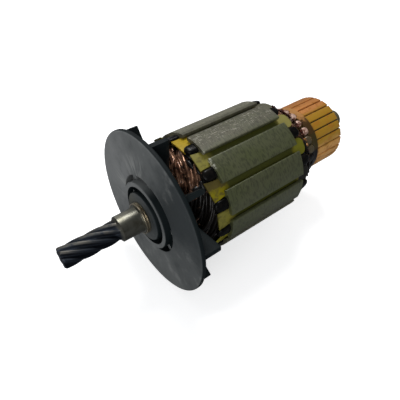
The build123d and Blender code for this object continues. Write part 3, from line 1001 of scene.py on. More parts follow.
@dataclass(frozen=True)
class JointVarnish:
    """Soldered joints under varnish: brown and pink at the top, olive lower down, black lowest, where it is
    partly resin and partly painted shade.
    """

    name: str = "joint_varnish"
    pink: Colour = (0.64, 0.44, 0.35)
    brown: Colour = (0.2, 0.09, 0.06)
    olive: Colour = (0.095, 0.075, 0.04)
    black: Colour = (0.004, 0.004, 0.004)
    olive_angle: float = 152.0
    black_angle: float = 206.0

    def material(self) -> bpy.types.Material:
        """Builds the material.

        Returns:
            The material.
        """
        shader = Shader(self.name)
        cloud = shader.cloud(1.1)
        colour = shader.layers(
            self.pink,
            (cloud.step(0.42, 0.6), self.brown),
            (shader.zone(self.olive_angle, 19.0, 13.0), self.olive),
            (shader.zone(self.black_angle, 44.0, 39.0), self.black),
        )
        return shader.finish(
            Base_Color=colour, Metallic=0.2, Roughness=cloud * 0.2 + 0.2, Normal=shader.bump(cloud, 0.1, 0.8)
        )


@dataclass(frozen=True)
class BarCopper:
    """Turned commutator copper: bright at the top, under amber varnish lower down, pink lowest."""

    name: str = "bar_copper"
    bright: Colour = (0.66, 0.27, 0.075)
    amber: Colour = (0.375, 0.215, 0.002)
    pink: Colour = (0.95, 0.5, 0.145)
    rust: Colour = (0.42, 0.15, 0.01)
    grime: Colour = (0.05, 0.032, 0.008)
    ring: Colour = (0.3, 0.12, 0.05)

    def material(self) -> bpy.types.Material:
        """Builds the material. The angle runs from -10 degrees all the way round, and wanders with the cloud.

        Returns:
            The material.
        """
        shader = Shader(self.name)
        rings = shader.wrapped((0.14, 12.0, 30.0), BAR_MM, 2.0)
        cloud = shader.wrapped((7.0, 1.8, 9.0), BAR_MM, 3.0)
        spots = shader.wrapped((2.4, 2.0, 9.0), BAR_MM, 3.0).step(0.5, 0.66)
        turn = shader.angle()
        angle = turn + turn.step(-10.0, -11.0) * 360.0 + (cloud - 0.5) * 18.0
        amber = angle.step(96.0, 112.0) * angle.step(172.0, 160.0)
        stained = shader.x.step(PLACES.bar_front + 6.0 * MM, PLACES.bar_front + 3.5 * MM)
        colour = shader.layers(
            self.bright,
            (angle.step(140.0, 160.0), self.pink),
            (amber * 0.85, self.amber),
            (spots * angle.step(60.0, 90.0) * 0.6, self.rust),
            (stained * angle.step(88.0, 108.0) * 0.85, self.grime),
            ((rings - 0.45) * 0.7, self.ring),
        )
        return shader.finish(
            Base_Color=colour,
            Metallic=0.55 - amber * 0.3,
            Roughness=rings * 0.2 + 0.28,
            Coat_Weight=amber * 0.5,
            Normal=shader.bump(rings, 0.006, 0.6),
        )


def dress(piece: bpy.types.Object, material: bpy.types.Material, slot: str, *nodes: str) -> None:
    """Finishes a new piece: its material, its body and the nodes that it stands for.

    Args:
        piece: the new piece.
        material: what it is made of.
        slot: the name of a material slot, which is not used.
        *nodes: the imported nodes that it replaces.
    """
    piece.data.materials.append(material)
    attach(piece, BODY)
    if nodes:
        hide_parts(*nodes)
    LOG.info("%s: %d faces", piece.name, len(piece.data.polygons))


def repaint(node: str, material: bpy.types.Material) -> None:
    """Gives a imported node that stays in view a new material.

    Args:
        node: the node's name.
        material: its new material.
    """
    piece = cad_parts[node]
    piece.data.materials.clear()
    piece.data.materials.append(material)
    LOG.info("%s: kept with a new finish", node)


@dataclass
class Shaft:
    """The shaft with the pinion cut on its front end."""

    teeth: int = 7
    tip_radius: float = 3.25 * MM
    root_radius: float = 2.1 * MM
    twist: float = math.radians(9.05) / MM
    phase: float = math.radians(45.6)
    shoulder: float = -3.3 * MM
    runout: float = 2.4 * MM
    square: float = 1.5
    chamfer: float = 0.35 * MM
    centre_hole: float = 0.7 * MM
    edge: float = 0.12 * MM
    rear_edge: float = 0.5 * MM
    oiled_before: float = -3.7 * MM
    dull_after: float = 82.0 * MM
    steps: tuple[tuple[float, float], ...] = (
        (-3.3 * MM, 4.0 * MM),
        (3.3 * MM, 4.6 * MM),
        (23.4 * MM, 4.9 * MM),
        (53.28 * MM, 4.3 * MM),
        (83.21 * MM, 4.0 * MM),
        (84.61 * MM, 3.5 * MM),
    )
    segments: int = 224

    def tooth_radius(self, x: Array, angle: Array) -> Array:
        """Radius of the cut teeth.

        Halfway between root and tip, plus half their difference times the tanh of a cosine of the
        tooth count times the angle, which turns with x; the larger of that and a run-out that rises
        with the square of x up to the journal.

        Args:
            x: places along the shaft, as a column.
            angle: angles round it, as a row.

        Returns:
            The radius at each place and angle.
        """
        turn = self.teeth * (angle - self.phase - self.twist * (x - PLACES.tip))
        shape = np.tanh(self.square * np.cos(turn)) / math.tanh(self.square)
        gear = (self.tip_radius + self.root_radius) / 2 + (self.tip_radius - self.root_radius) / 2 * shape
        entry = np.clip((x - self.shoulder + self.runout) / self.runout, 0, 1)
        journal = self.steps[0][1]
        return np.maximum(gear, self.root_radius + (journal - self.root_radius) * entry**2)

    def build(self) -> bpy.types.Object:
        """Builds one closed surface from the pinion's centre hole to the rear end.

        The teeth come first, less a chamfer that grows with the distance from the tip, and then the
        journals and seats as a turned outline with rounded steps.

        Returns:
            The shaft's object.
        """
        angle = np.linspace(0, TAU, self.segments, endpoint=False)[None]
        x = np.linspace(PLACES.tip, self.shoulder, 130)[:, None]
        radius = np.minimum(self.tooth_radius(x, angle), self.tip_radius - self.chamfer + (x - PLACES.tip))
        ends = [end for end, _ in self.steps[1:]] + [PLACES.shaft_end]
        outline = [point for (start, r), end in zip(self.steps, ends) for point in ((start, r), (end, r))]
        outline.append((PLACES.shaft_end, 0.0))
        edges = [self.edge] * len(outline)
        edges[-2] = self.rear_edge
        turned = round_corners(outline, edges, closed=False)
        front = np.array([(PLACES.tip + self.centre_hole, 0.0), (PLACES.tip, self.centre_hole)])
        rows = [
            polar(front[:, :1], front[:, 1:], angle),
            polar(x, radius, angle),
            polar(turned[:, :1], turned[:, 1:], angle),
        ]
        surface = Surface()
        surface.grid(np.concatenate(rows), wrap_columns=True)
        return surface.build("shaft_turned", 40.0)

    def dress(self) -> None:
        """Builds and finishes the shaft."""
        steel = TurnedSteel(
            "shaft_steel",
            base=(0.25, 0.246, 0.205),
            stain=(0.15, 0.142, 0.108),
            roughness=0.32,
            oiled_before=self.oiled_before,
            dull_after=self.dull_after,
        )
        dress(self.build(), steel.material(), "shaft_steel", "shaft")


@dataclass
class ThrustRing:
    """The ring with two lands between the front bearing and the fan."""

    bore: float = FRONT_BORE
    groove: float = 0.28 * MM
    depth: float = 0.3 * MM
    edge: float = 0.14 * MM

    def build(self) -> bpy.types.Object:
        """Builds the ring by turning its closed profile.

        Returns:
            The ring's object.
        """
        front, rear, radius = PLACES.ring_front, PLACES.ring_rear, PLACES.ring_radius
        middle = (front + rear) / 2
        profile = [
            (front, self.bore),
            (front, radius),
            (middle - self.groove / 2, radius),
            (middle - self.groove / 3, radius - self.depth),
            (middle + self.groove / 3, radius - self.depth),
            (middle + self.groove / 2, radius),
            (rear, radius),
            (rear, self.bore),
        ]
        surface = Surface()
        surface.revolve(round_corners(profile, self.edge), closed=True)
        return surface.build("thrust_ring_turned")

    def dress(self) -> None:
        """Builds and finishes the ring."""
        steel = TurnedSteel("ring_steel", (0.6, 0.52, 0.38), (0.3, 0.24, 0.15), 0.2)
        dress(self.build(), steel.material(), "ring_steel", "thrust_ring")


@dataclass
class Fan:
    """The fan: one moulding with labyrinth grooves in front and radial blades behind."""

    bore: float = FRONT_BORE
    boss_radius: float = 7.95 * MM
    boss_setback: float = 1.95 * MM
    ring_inner: float = 9.5 * MM
    ring_outer: float = 11.05 * MM
    ring_setback: float = 1.25 * MM
    recess: float = 12.7 * MM
    inner_depth: float = 3.7 * MM
    outer_depth: float = 2.7 * MM
    thickness: float = 1.55 * MM
    web: float = 1.6 * MM
    hub_radius: float = 7.0 * MM
    blades: int = 9
    blade_phase: float = math.radians(14.5)
    blade_radius: float = 25.3 * MM
    blade_height: float = 6.1 * MM
    blade_half: float = 0.85 * MM
    blade_overlap: float = 0.05 * MM
    draft: float = 0.11 * MM

    def disc(self, surface: Surface) -> None:
        """Adds the disc, boss and hub by turning their closed profile, whose radii are in millimetres.

        Args:
            surface: what they are added to.
        """
        boss, face = PLACES.fan_front, PLACES.fan_front + self.boss_setback
        inner, outer = face + self.inner_depth, face + self.outer_depth
        back, web = face + self.thickness, face + self.inner_depth + self.web
        corners = [
            ((boss, self.bore), 0.3),
            ((boss, self.boss_radius), 0.7),
            ((inner, self.boss_radius), 0.3),
            ((inner, self.ring_inner), 0.3),
            ((face - self.ring_setback, self.ring_inner), 0.2),
            ((face - self.ring_setback, self.ring_outer), 0.35),
            ((outer, self.ring_outer), 0.3),
            ((outer, self.recess), 0.3),
            ((face, self.recess), 0.45),
            ((face, PLACES.fan_radius), 1.2),
            ((back, PLACES.fan_radius), 0.35),
            ((back, self.recess + self.web), 1.0),
            ((web, self.ring_outer), 0.6),
            ((web, self.hub_radius), 0.6),
            ((PLACES.fan_rear, self.hub_radius), 0.3),
            ((PLACES.fan_rear, self.bore), 0.2),
        ]
        profile = round_corners([place for place, _ in corners], np.array([r for _, r in corners]) * MM)
        surface.revolve(profile, 256, closed=True)

    def blade_set(self, surface: Surface) -> None:
        """Adds the blades.

        Each is a rounded rectangle, from the hub to the blade radius and as wide as the blade is
        thick, carried along X; its half width falls with the draft and its last rows round over.

        Args:
            surface: what they are added to.
        """
        start = PLACES.fan_front + self.boss_setback + self.thickness / 2
        end = PLACES.fan_front + self.boss_setback + self.thickness + self.blade_height
        t = np.array([0, 0.25, 0.5, 0.75, 0.93, 0.97, 0.99, 1.0, 1.0])
        inset = np.array([0, 0, 0, 0, 0, 0.08, 0.2, 0.42, 0.8]) * MM
        flat = round_corners([(-1, -1), (1, -1), (1, 1), (-1, 1)], 0.02)
        inner = self.hub_radius - self.blade_overlap
        middle, half = (inner + self.blade_radius) / 2, (self.blade_radius - inner) / 2
        width = np.maximum(self.blade_half - self.draft * t - inset, 0)[:, None]
        along = (start + (end - start) * t)[:, None]
        out = middle + (half - inset[:, None]) * flat[:, 0]
        side = width * flat[:, 1]
        turns = even_angles(self.blade_phase, self.blades, 2)
        surface.closed_grid(swing(along, out, side, turns), both=False)

    def dress(self) -> None:
        """Builds and finishes the fan."""
        surface = Surface()
        self.disc(surface)
        self.blade_set(surface)
        dress(surface.build("fan_moulded", 40.0), FanMoulding().material(), "fan_plastic", "fan")


@dataclass
class Core:
    """The lamination stack, whose teeth and half-closed slots are one outline.

    The radii of half a slot's corners are in millimetres, from the tooth's face to the slot's bottom.
    The groove between sheets and their unevenness are shares of the outline's size.
    """

    slots: int = 12
    phase: float = math.radians(20.8)
    bore: float = 4.93 * MM
    tooth_width: float = 3.7 * MM
    opening: float = 2.1 * MM
    lip: float = 1.1 * MM
    lip_slope: float = 0.55 * MM
    bottom: float = 10.0 * MM
    sheets: int = 60
    groove: float = 0.0012
    uneven: float = 0.0008
    seed: int = 12
    arc_points: int = 12
    lead_in: float = 0.7 * MM
    radii: tuple[float, ...] = (0.0, 0.28, 0.1, 0.2, 0.4)

    def half_width(self, radius: float, inset: float = 0.0) -> float:
        """Half the slot's width at a radius, between teeth with parallel sides."""
        half = math.pi / self.slots
        return radius * math.tan(half) - (self.tooth_width / 2 + inset) / math.cos(half)

    def outline(self) -> Array:
        """The closed outline of the teeth: each slot's ten corners, then an arc over the tooth.

        Returns:
            Rows of (y, z) in metres, all round.
        """
        radius, half = PLACES.core_radius, self.opening / 2
        top, shoulder = radius - self.lip, radius - self.lip - self.lip_slope
        wide, low = self.half_width(shoulder), self.half_width(self.bottom)
        edge = math.sqrt(radius**2 - half**2)
        lead = half + self.lead_in
        side = [
            (math.sqrt(radius**2 - lead**2), lead),
            (edge, half),
            (top, half),
            (shoulder, wide),
            (self.bottom, low),
        ]
        corners = [(x, -y) for x, y in side] + [(x, y) for x, y in reversed(side)]
        slot = round_corners(corners, np.array(self.radii + self.radii[::-1]) * MM, steps=4, closed=False)
        start = math.asin(lead / radius)
        arc = np.linspace(start, TAU / self.slots - start, self.arc_points)[1:-1]
        piece = np.concatenate([slot, polar(0.0, radius, arc)[:, 1:]])
        turns = even_angles(self.phase, self.slots, 1)
        return swing(0.0, piece[:, 0], piece[:, 1], turns)[..., 1:].reshape(-1, 2)

    def build(self) -> bpy.types.Object:
        """Builds the stack: the outline at two places in each sheet, a little smaller between sheets.

        Returns:
            The stack's object.
        """
        stations = np.linspace(PLACES.core_front, PLACES.core_rear, 2 * self.sheets + 1)
        draw = np.random.default_rng(self.seed)
        shrink = draw.uniform(0, self.uneven, len(stations))
        shrink[2:-2:2] += self.groove
        hole = polar(0.0, self.bore, even_angles(0.0, 96, 0))[:, 1:]
        surface = Surface()
        surface.prism(self.outline(), stations, hole, 1 - shrink)
        return surface.build("core_sheets", 40.0)

    def dress(self) -> None:
        """Builds and finishes the stack."""
        dress(self.build(), VarnishedSheets().material(), "varnished_laminations", "lamination_stack")


@dataclass
class EndInsulator:
    """One end insulator: a spider plate, a sleeve and a rounded lug over each tooth.

    The plate stands on the core at plate_x, and outward is the way that it faces, -1 or 1 along X.
    """

    node: str
    plate_x: float
    outward: int
    sleeve_end: float
    bore: float
    core: Core
    plate: float = 1.0 * MM
    ring_radius: float = 9.4 * MM
    arm_width: float = 3.2 * MM
    arm_round: float = 0.3 * MM
    sleeve_wall: float = 2.0 * MM
    sleeve_round: float = 0.25 * MM
    lug_inner: float = 17.0 * MM
    lug_outer: float = 18.95 * MM
    lug_width: float = 3.5 * MM
    lug_length: float = 3.7 * MM
    lug_power: float = 2.8
    dome_power: float = 2.2
    dome_start: float = 0.45
    short_lugs: tuple[int, ...] = (2,)
    short_share: float = 0.76
    seed: int = 5

    def spider(self) -> Array:
        """The plate's closed outline: an arm on each tooth and an arc of the ring between arms.

        Returns:
            Rows of (y, z) in metres, all round.
        """
        half, middle = self.arm_width / 2, (self.lug_inner + self.lug_outer) / 2
        foot = math.sqrt(self.ring_radius**2 - half**2)
        corners = [(foot, -half), (middle, -half), (middle, half), (foot, half)]
        arm = round_corners(corners, self.arm_round, closed=False)
        edge, pitch = math.asin(half / self.ring_radius), TAU / self.core.slots
        arc = np.linspace(edge, pitch - edge, 8)[1:-1]
        piece = np.concatenate([arm, polar(0.0, self.ring_radius, arc)[:, 1:]])
        turns = even_angles(self.core.phase + pitch / 2, self.core.slots, 1)
        return swing(0.0, piece[:, 0], piece[:, 1], turns)[..., 1:].reshape(-1, 2)

    def lugs(self, surface: Surface) -> None:
        """Adds the lugs.

        Each is a superellipse in section, carried along X, whose size falls to nothing at its end:
        one less the dome's power of the place, all to one over that power, so that the end is a dome.

        Args:
            surface: what they are added to.
        """
        t = np.concatenate([[0.0, 0.3, 0.5], 1 - 0.5 * np.cos(np.linspace(0, math.pi / 2, 9)) ** 1.6])
        t = np.unique(np.clip(t, 0, 1))
        dome = np.clip((t - self.dome_start) / (1 - self.dome_start), 0, 1)
        size = np.maximum(1 - dome**self.dome_power, 0)[:, None] ** (1 / self.dome_power)
        turn = even_angles(0.0, 28, 0)
        power = 2 / self.lug_power
        across = np.sign(np.cos(turn)) * np.abs(np.cos(turn)) ** power
        around = np.sign(np.sin(turn)) * np.abs(np.sin(turn)) ** power
        middle, thick = (self.lug_inner + self.lug_outer) / 2, (self.lug_outer - self.lug_inner) / 2
        count = self.core.slots
        draw = np.random.default_rng(self.seed + self.outward)
        length = (self.plate + self.lug_length) * draw.uniform(0.88, 1.0, (count, 1, 1))
        length[list(self.short_lugs)] *= self.short_share
        x = self.plate_x + self.outward * length * t[:, None]
        out = middle + thick * size * across
        turns = even_angles(self.core.phase + math.pi / count, count, 2)
        surface.closed_grid(swing(x, out, self.lug_width / 2 * size * around, turns), both=False)

    def build(self) -> bpy.types.Object:
        """Builds the plate, the sleeve and the lugs as one piece.

        Returns:
            The insulator's object.
        """
        surface = Surface()
        ends = np.sort([self.plate_x, self.plate_x + self.outward * self.plate])
        surface.prism(self.spider(), ends, polar(0.0, self.bore, even_angles(0.0, 96, 0))[:, 1:])
        start, sleeve = self.plate_x + self.outward * self.plate / 2, self.bore + self.sleeve_wall
        end = self.sleeve_end
        profile = [(start, self.bore), (start, sleeve), (end, sleeve), (end, self.bore)]
        surface.revolve(round_corners(profile, self.sleeve_round), 96, closed=True)
        self.lugs(surface)
        return surface.build(f"{self.node}_moulded", 40.0)

    def dress(self, material: bpy.types.Material) -> None:
        """Builds and finishes the insulator."""
        dress(self.build(), material, "insulator_plastic", self.node)


@dataclass(frozen=True)
class Corner:
    """One front corner of a slot strip, in millimetres: its reach past the core, its lift and its splay."""

    length: float
    lift: float
    splay: float


@dataclass(frozen=True)
class Tab:
    """A slot strip's front end: its upper and lower corners, in millimetres, and its colours."""

    upper: Corner
    lower: Corner
    tone: StripTone

    def across(self, share: Array) -> tuple[Array, Array, Array]:
        """How the front edge stands between its corners, each measure in step with the share.

        Args:
            share: the place along the edge, 0 at the upper corner and 1 at the lower.

        Returns:
            The length, the lift and the sideways shift at each share, in metres.
        """
        length = self.upper.length + (self.lower.length - self.upper.length) * share
        lift = self.upper.lift + (self.lower.lift - self.upper.lift) * share
        shift = self.lower.splay * share - self.upper.splay * (1 - share)
        return length * MM, lift * MM, shift * MM


@dataclass
class SlotStrips:
    """The strips that close the slots, with tabs standing out at both ends.

    The front ends of the strips that the photograph shows are given by slot. The others are drawn at random.
    """

    core: Core
    thickness: float = 0.52 * MM
    radius: float = 17.7 * MM
    rear_length: float = 4.15 * MM
    rear_round: float = 1.9 * MM
    clearance: float = 0.12 * MM
    corner_round: float = 0.12 * MM
    flare: float = 1.5
    seed: int = 31
    shown: dict[int, Tab] = field(
        default_factory=lambda: {
            1: Tab(Corner(3.9, 1.5, 0.0), Corner(3.9, 1.5, 0.0), StripTone.PALE),
            2: Tab(Corner(3.4, 0.25, -0.3), Corner(3.5, -0.8, 2.1), StripTone.BRIGHT),
            3: Tab(Corner(3.1, 0.0, 0.4), Corner(3.5, -0.1, 0.2), StripTone.PALE),
            4: Tab(Corner(4.5, -0.4, 0.5), Corner(3.5, -0.35, 0.85), StripTone.GOLD),
            5: Tab(Corner(3.75, -0.1, -0.1), Corner(3.6, -0.2, 1.4), StripTone.STAINED),
            6: Tab(Corner(4.6, 0.9, -0.6), Corner(3.7, 0.2, 0.4), StripTone.OLIVE),
        }
    )

    def build(self, slot: int, tab: Tab) -> bpy.types.Object:
        """Builds one strip.

        A rounded rectangle, as wide as the slot and as thick as the strip, is carried along X. Past
        the core's front its radius and its sideways shift grow with the flare's power of the
        distance, up to the places of the tab's two corners. The rear end narrows by a quarter circle
        at each side.

        Args:
            slot: which slot, counted from 0.
            tab: how its front end stands.

        Returns:
            The strip's object.
        """
        half = self.core.half_width(self.radius - self.thickness / 2, self.clearance)
        thin = self.thickness / 2
        corners = [(-thin, -half), (thin, -half), (thin, half), (-thin, half)]
        section = round_corners(corners, self.corner_round)
        length, lift, shift = tab.across((1 + section[None, :, 1] / half) / 2)
        turned = np.linspace(0, math.pi / 2, 9)
        rear = PLACES.core_rear + self.rear_length - self.rear_round * (1 - np.sin(turned))
        middle = np.linspace(PLACES.core_front, PLACES.core_rear, 10)[1:]
        base = np.concatenate([np.full(8, PLACES.core_front), middle, rear])[:, None]
        past = np.concatenate([np.linspace(1, 0, 8), np.zeros(len(base) - 8)])[:, None]
        rounded = 1 - self.rear_round / half * (1 - np.cos(turned))
        narrow = np.concatenate([np.ones(len(base) - len(rounded)), rounded])[:, None]
        out = self.radius + past**self.flare * lift + section[None, :, 0]
        side = section[None, :, 1] * narrow + past**self.flare * shift
        turn = self.core.phase + TAU * slot / self.core.slots
        surface = Surface()
        surface.closed_grid(swing(base - past * length, out, side, turn))
        return surface.build(f"slot_strip_{slot + 1:02d}", 50.0)

    def dress(self) -> None:
        """Builds and finishes all the strips."""
        finishes = {tone: FibreStrip(tone).material() for tone in StripTone}
        draw = np.random.default_rng(self.seed)
        tones = list(StripTone)
        for slot in range(self.core.slots):
            upper, lower = (Corner(*draw.uniform((3.2, -0.2, -0.1), (3.9, 0.3, 0.5))) for _ in range(2))
            tab = self.shown.get(slot, Tab(upper, lower, tones[slot % len(tones)]))
            dress(self.build(slot, tab), finishes[tab.tone], "wedge_fibre", f"slot_wedge_{slot + 1:02d}")


@dataclass
class Winding:
    """The twelve coils, each a bundle of wires that crosses from one slot to another at both ends.

    A coil head's line is given as rows of (height past the plate in mm, place between the layers).
    """

    core: Core
    span: int = 5
    inner_layer: float = 12.13 * MM
    outer_layer: float = 15.57 * MM
    bundle: float = 1.15 * MM
    wire: float = 0.46 * MM
    wires: int = 7
    stations: int = 64
    filling: float = 0.8
    plate: float = 1.0 * MM
    lay: tuple[float, float] = (-1.0, 6.0)
    lacing: tuple[float, float] = (15.0, -13.0)
    head: tuple[tuple[float, float], ...] = (
        (1.45, 1.0),
        (3.4, 0.95),
        (5.3, 0.68),
        (6.4, 0.15),
        (6.3, -0.49),
        (5.0, -0.93),
        (3.2, -0.96),
        (1.9, -0.61),
        (1.45, 0.0),
    )

    def centre(self) -> Array:
        """The middle of a coil head as rows of (height, radius, angle from its slot).

        The heights and layers of the head are joined by a smooth line, with the angle in step with
        the length, and both ends run on straight into their slots.

        Returns:
            The rows, one for each station, in metres and radians.
        """
        height, layer = np.array(self.head).T
        radius = self.inner_layer + (self.outer_layer - self.inner_layer) * layer
        steps = np.hypot(np.diff(height) * MM, np.diff(radius))
        angle = np.concatenate([[0], np.cumsum(steps)]) / steps.sum() * self.span * TAU / self.core.slots
        rows = np.column_stack([height * MM, radius, angle])
        entry = [[-2.4 * MM, radius[0], 0.0], [-0.4 * MM, radius[0], 0.0]]
        leave = [[-0.4 * MM, radius[-1], angle[-1]], [-2.4 * MM, radius[-1], angle[-1]]]
        return smooth_line(np.concatenate([entry, rows, leave]), self.stations)

    def head_paths(self, plate_x: float, outward: int, turn: float, seed: int) -> tuple[Array, Array]:
        """Wire paths of one coil head.

        Each wire keeps an angle round the bundle's middle: its start, plus its own turning times the
        place along the head, plus 1.2 of a ripple. Its distance from the middle is the bundle's radius
        times one plus 0.32 of a second ripple, times 0.72 plus 0.28 of the power 0.3 of a half sine.
        The first two wires turn fastest, and lace the others together.

        Args:
            plate_x: the end plate's outer face.
            outward: -1 at the front, 1 at the rear.
            turn: the coil's angle round the shaft.
            seed: makes the wander the same in each run.

        Returns:
            The paths, (wires, stations, 3), and the bundle's outward direction at each station.
        """
        height, radius, angle = self.centre().T
        middle = polar(plate_x + outward * height, radius, turn + angle)
        rise, spread = np.gradient(height), np.gradient(radius)
        length = np.hypot(rise, spread) + 1e-9
        outwards = polar(0.0, 1.0, turn + angle) * (rise / length)[:, None]
        outwards = outwards + np.array([outward, 0, 0]) * (-spread / length)[:, None]
        tangent = unit(np.gradient(middle, axis=0))
        first = unit(outwards - (outwards * tangent).sum(-1, keepdims=True) * tangent)
        second = np.cross(tangent, first)
        t = np.linspace(0, 1, self.stations)
        draw = np.random.default_rng(seed)
        starts = TAU * (np.arange(self.wires) + draw.uniform(-0.3, 0.3, self.wires)) / self.wires
        wander = np.stack([ripple(t, seed * 100 + i, 3, 1.5) for i in range(self.wires)])
        swell = np.stack([ripple(t, seed * 100 + 50 + i, 3, 2.0) for i in range(self.wires)])
        turning = draw.uniform(*self.lay, self.wires)
        turning[:2] = self.lacing
        place = starts[:, None] + turning[:, None] * t + 1.2 * wander
        away = self.bundle * (1.0 + 0.32 * swell) * (0.72 + 0.28 * np.sin(math.pi * t) ** 0.3)
        offset = np.cos(place)[..., None] * first + np.sin(place)[..., None] * second
        return middle + away[..., None] * offset, first

    def build(self, coil: int) -> bpy.types.Object:
        """Builds both heads of one coil, and its straight sides in the slots.

        Args:
            coil: which coil, counted from 0.

        Returns:
            The coil's object.
        """
        surface = Surface()
        turn = self.core.phase + TAU * coil / self.core.slots
        plates = ((PLACES.core_front - self.plate, -1), (PLACES.core_rear + self.plate, 1))
        for end, (x, outward) in enumerate(plates):
            paths, first = self.head_paths(x, outward, turn, 3 + coil * 2 + end)
            surface.tubes(paths, self.wire, first, 7)
            surface.tubes(paths.mean(axis=0, keepdims=True), self.bundle * self.filling, first, 10)
        x = np.linspace(PLACES.core_front - self.plate * 2, PLACES.core_rear + self.plate * 2, 6)
        across = self.span * TAU / self.core.slots
        for radius, angle in ((self.outer_layer, turn), (self.inner_layer, turn + across)):
            side = polar(x, radius, angle)[None]
            surface.tubes(side, self.bundle * self.filling, polar(0.0, 1.0, angle), 10)
        return surface.build(f"coil_wires_{coil + 1:02d}", 60.0)

    def dress(self, material: bpy.types.Material) -> None:
        """Builds and finishes all the coils."""
        for coil in range(self.core.slots):
            dress(self.build(coil), material, "magnet_wire", f"coil_{coil + 1:02d}")


@dataclass(frozen=True)
class Drop:
    """A lump of resin: its place behind the core's front, its radius and its three half sizes, all in mm.

    Its angle round the shaft is in degrees.
    """

    x: float
    radius: float
    angle: float
    size: tuple[float, float, float]


@dataclass
class ResinDrops:
    """Black resin that has set in lumps between the front coil heads."""

    drops: tuple[Drop, ...] = (
        Drop(-1.7, 16.9, 74.0, (0.8, 0.6, 1.5)),
        Drop(-2.4, 16.3, 95.0, (0.9, 0.8, 2.0)),
        Drop(-3.7, 15.9, 105.0, (0.7, 0.8, 2.2)),
        Drop(-3.2, 16.2, 116.0, (0.5, 0.6, 1.6)),
        Drop(-2.7, 16.2, 126.0, (1.1, 0.9, 1.7)),
        Drop(-3.9, 15.9, 132.0, (1.0, 0.7, 1.8)),
        Drop(-5.4, 15.5, 133.0, (2.0, 0.8, 1.3)),
    )

    def build(self) -> bpy.types.Object:
        """Builds the lumps: spheres stretched along the shaft, outwards and round it.

        Returns:
            The lumps' object.
        """
        middle = [(drop.x * MM, drop.radius * MM, math.radians(drop.angle)) for drop in self.drops]
        half = np.array([drop.size for drop in self.drops]) * MM
        surface = Surface()
        surface.lumps(np.array(middle) + (PLACES.core_front, 0, 0), half)
        return surface.build("resin_lumps", 60.0)

    def dress(self, material: bpy.types.Material) -> None:
        """Builds and finishes the lumps."""
        dress(self.build(), material, "resin")


@dataclass
class Commutator:
    """The copper bars with their hooks, on the hub and bush that stay as packed.

    The radii of a bar's corners are in millimetres, the two inner ones first and last. A hook's line
    is given as rows of (distance behind the setback in mm, share of the height).
    """

    bars: int = 24
    phase: float = math.radians(9.0)
    gap: float = 0.5 * MM
    inner: float = 8.7 * MM
    radii: tuple[float, ...] = (0.1, 0.22, 0.22, 0.1)
    rear_round: float = 0.25 * MM
    rear_drop: float = 0.75
    hook_setback: float = 0.3 * MM
    hook_length: float = 1.5 * MM
    hook_half: float = 0.72 * MM
    hook_flat: float = 0.36
    hook_sunk: float = 0.1 * MM
    hook_below: float = 0.28 * MM
    hook_line: tuple[tuple[float, float], ...] = (
        (0.1, 0.0),
        (0.05, 0.5),
        (0.35, 1.0),
        (0.95, 1.0),
        (1.3, 0.5),
        (1.25, 0.0),
    )

    def bar_set(self, surface: Surface) -> None:
        """Adds the bars.

        Each is a wedge with rounded edges, whose walls stand half a gap from the lines between
        bars, carried along X; its outer face drops by a share of a quarter circle at the rear end.

        Args:
            surface: what they are added to.
        """
        half = math.pi / self.bars
        outer, length = PLACES.bar_radius, PLACES.bar_rear - PLACES.bar_front
        wide = outer * math.tan(half) - self.gap / 2 / math.cos(half)
        narrow = self.inner * math.tan(half) - self.gap / 2 / math.cos(half)
        corners = [(self.inner, narrow), (outer, wide), (outer, -wide), (self.inner, -narrow)]
        section = round_corners(corners, np.array(self.radii) * MM, steps=4)
        bow = outer - np.sqrt(outer**2 - section[:, 1] ** 2)
        share = (section[:, 0] - self.inner) / (outer - self.inner)
        t = np.concatenate([[0.0, 0.05, 0.3, 0.6], 1 - self.rear_round / length * np.linspace(1, 0, 7)])
        x = (PLACES.bar_front + length * t)[:, None]
        near_end = np.clip((x - PLACES.bar_rear) / self.rear_round + 1, 0, 1)
        drop = self.rear_round * (1 - np.sqrt(1 - near_end**2)) * self.rear_drop
        out = section[:, 0] - share * bow - drop * share
        surface.closed_grid(swing(x, out, section[:, 1], even_angles(self.phase, self.bars, 2)))

    def hook_set(self, surface: Surface) -> None:
        """Adds the hooks: flattened tubes that rise from each bar's front and fold back over it.

        Args:
            surface: what they are added to.
        """
        start = PLACES.bar_front + self.hook_setback
        low, high = PLACES.bar_radius - self.hook_sunk, PLACES.hook_radius - self.hook_below
        line = smooth_line([(start + x * MM, low + (high - low) * share) for x, share in self.hook_line], 16)
        turns = even_angles(self.phase, self.bars, 1)
        side = polar(0.0, 1.0, turns + math.pi / 2)
        surface.tubes(polar(line[:, 0], line[:, 1], turns), self.hook_half, side, 10, flat=self.hook_flat)

    def dress(self, copper: bpy.types.Material, hub: bpy.types.Material, bush: bpy.types.Material) -> None:
        """Builds the bars and hooks, and gives the hub and bush their finish.

        Args:
            copper: the bars' and hooks' material.
            hub: the hub's material.
            bush: the bush's material.
        """
        surface = Surface()
        self.bar_set(surface)
        self.hook_set(surface)
        dress(surface.build("commutator_bars_turned", 40.0), copper, "commutator_copper", "commutator_bars")
        repaint("commutator_hub", hub)
        repaint("commutator_bush", bush)


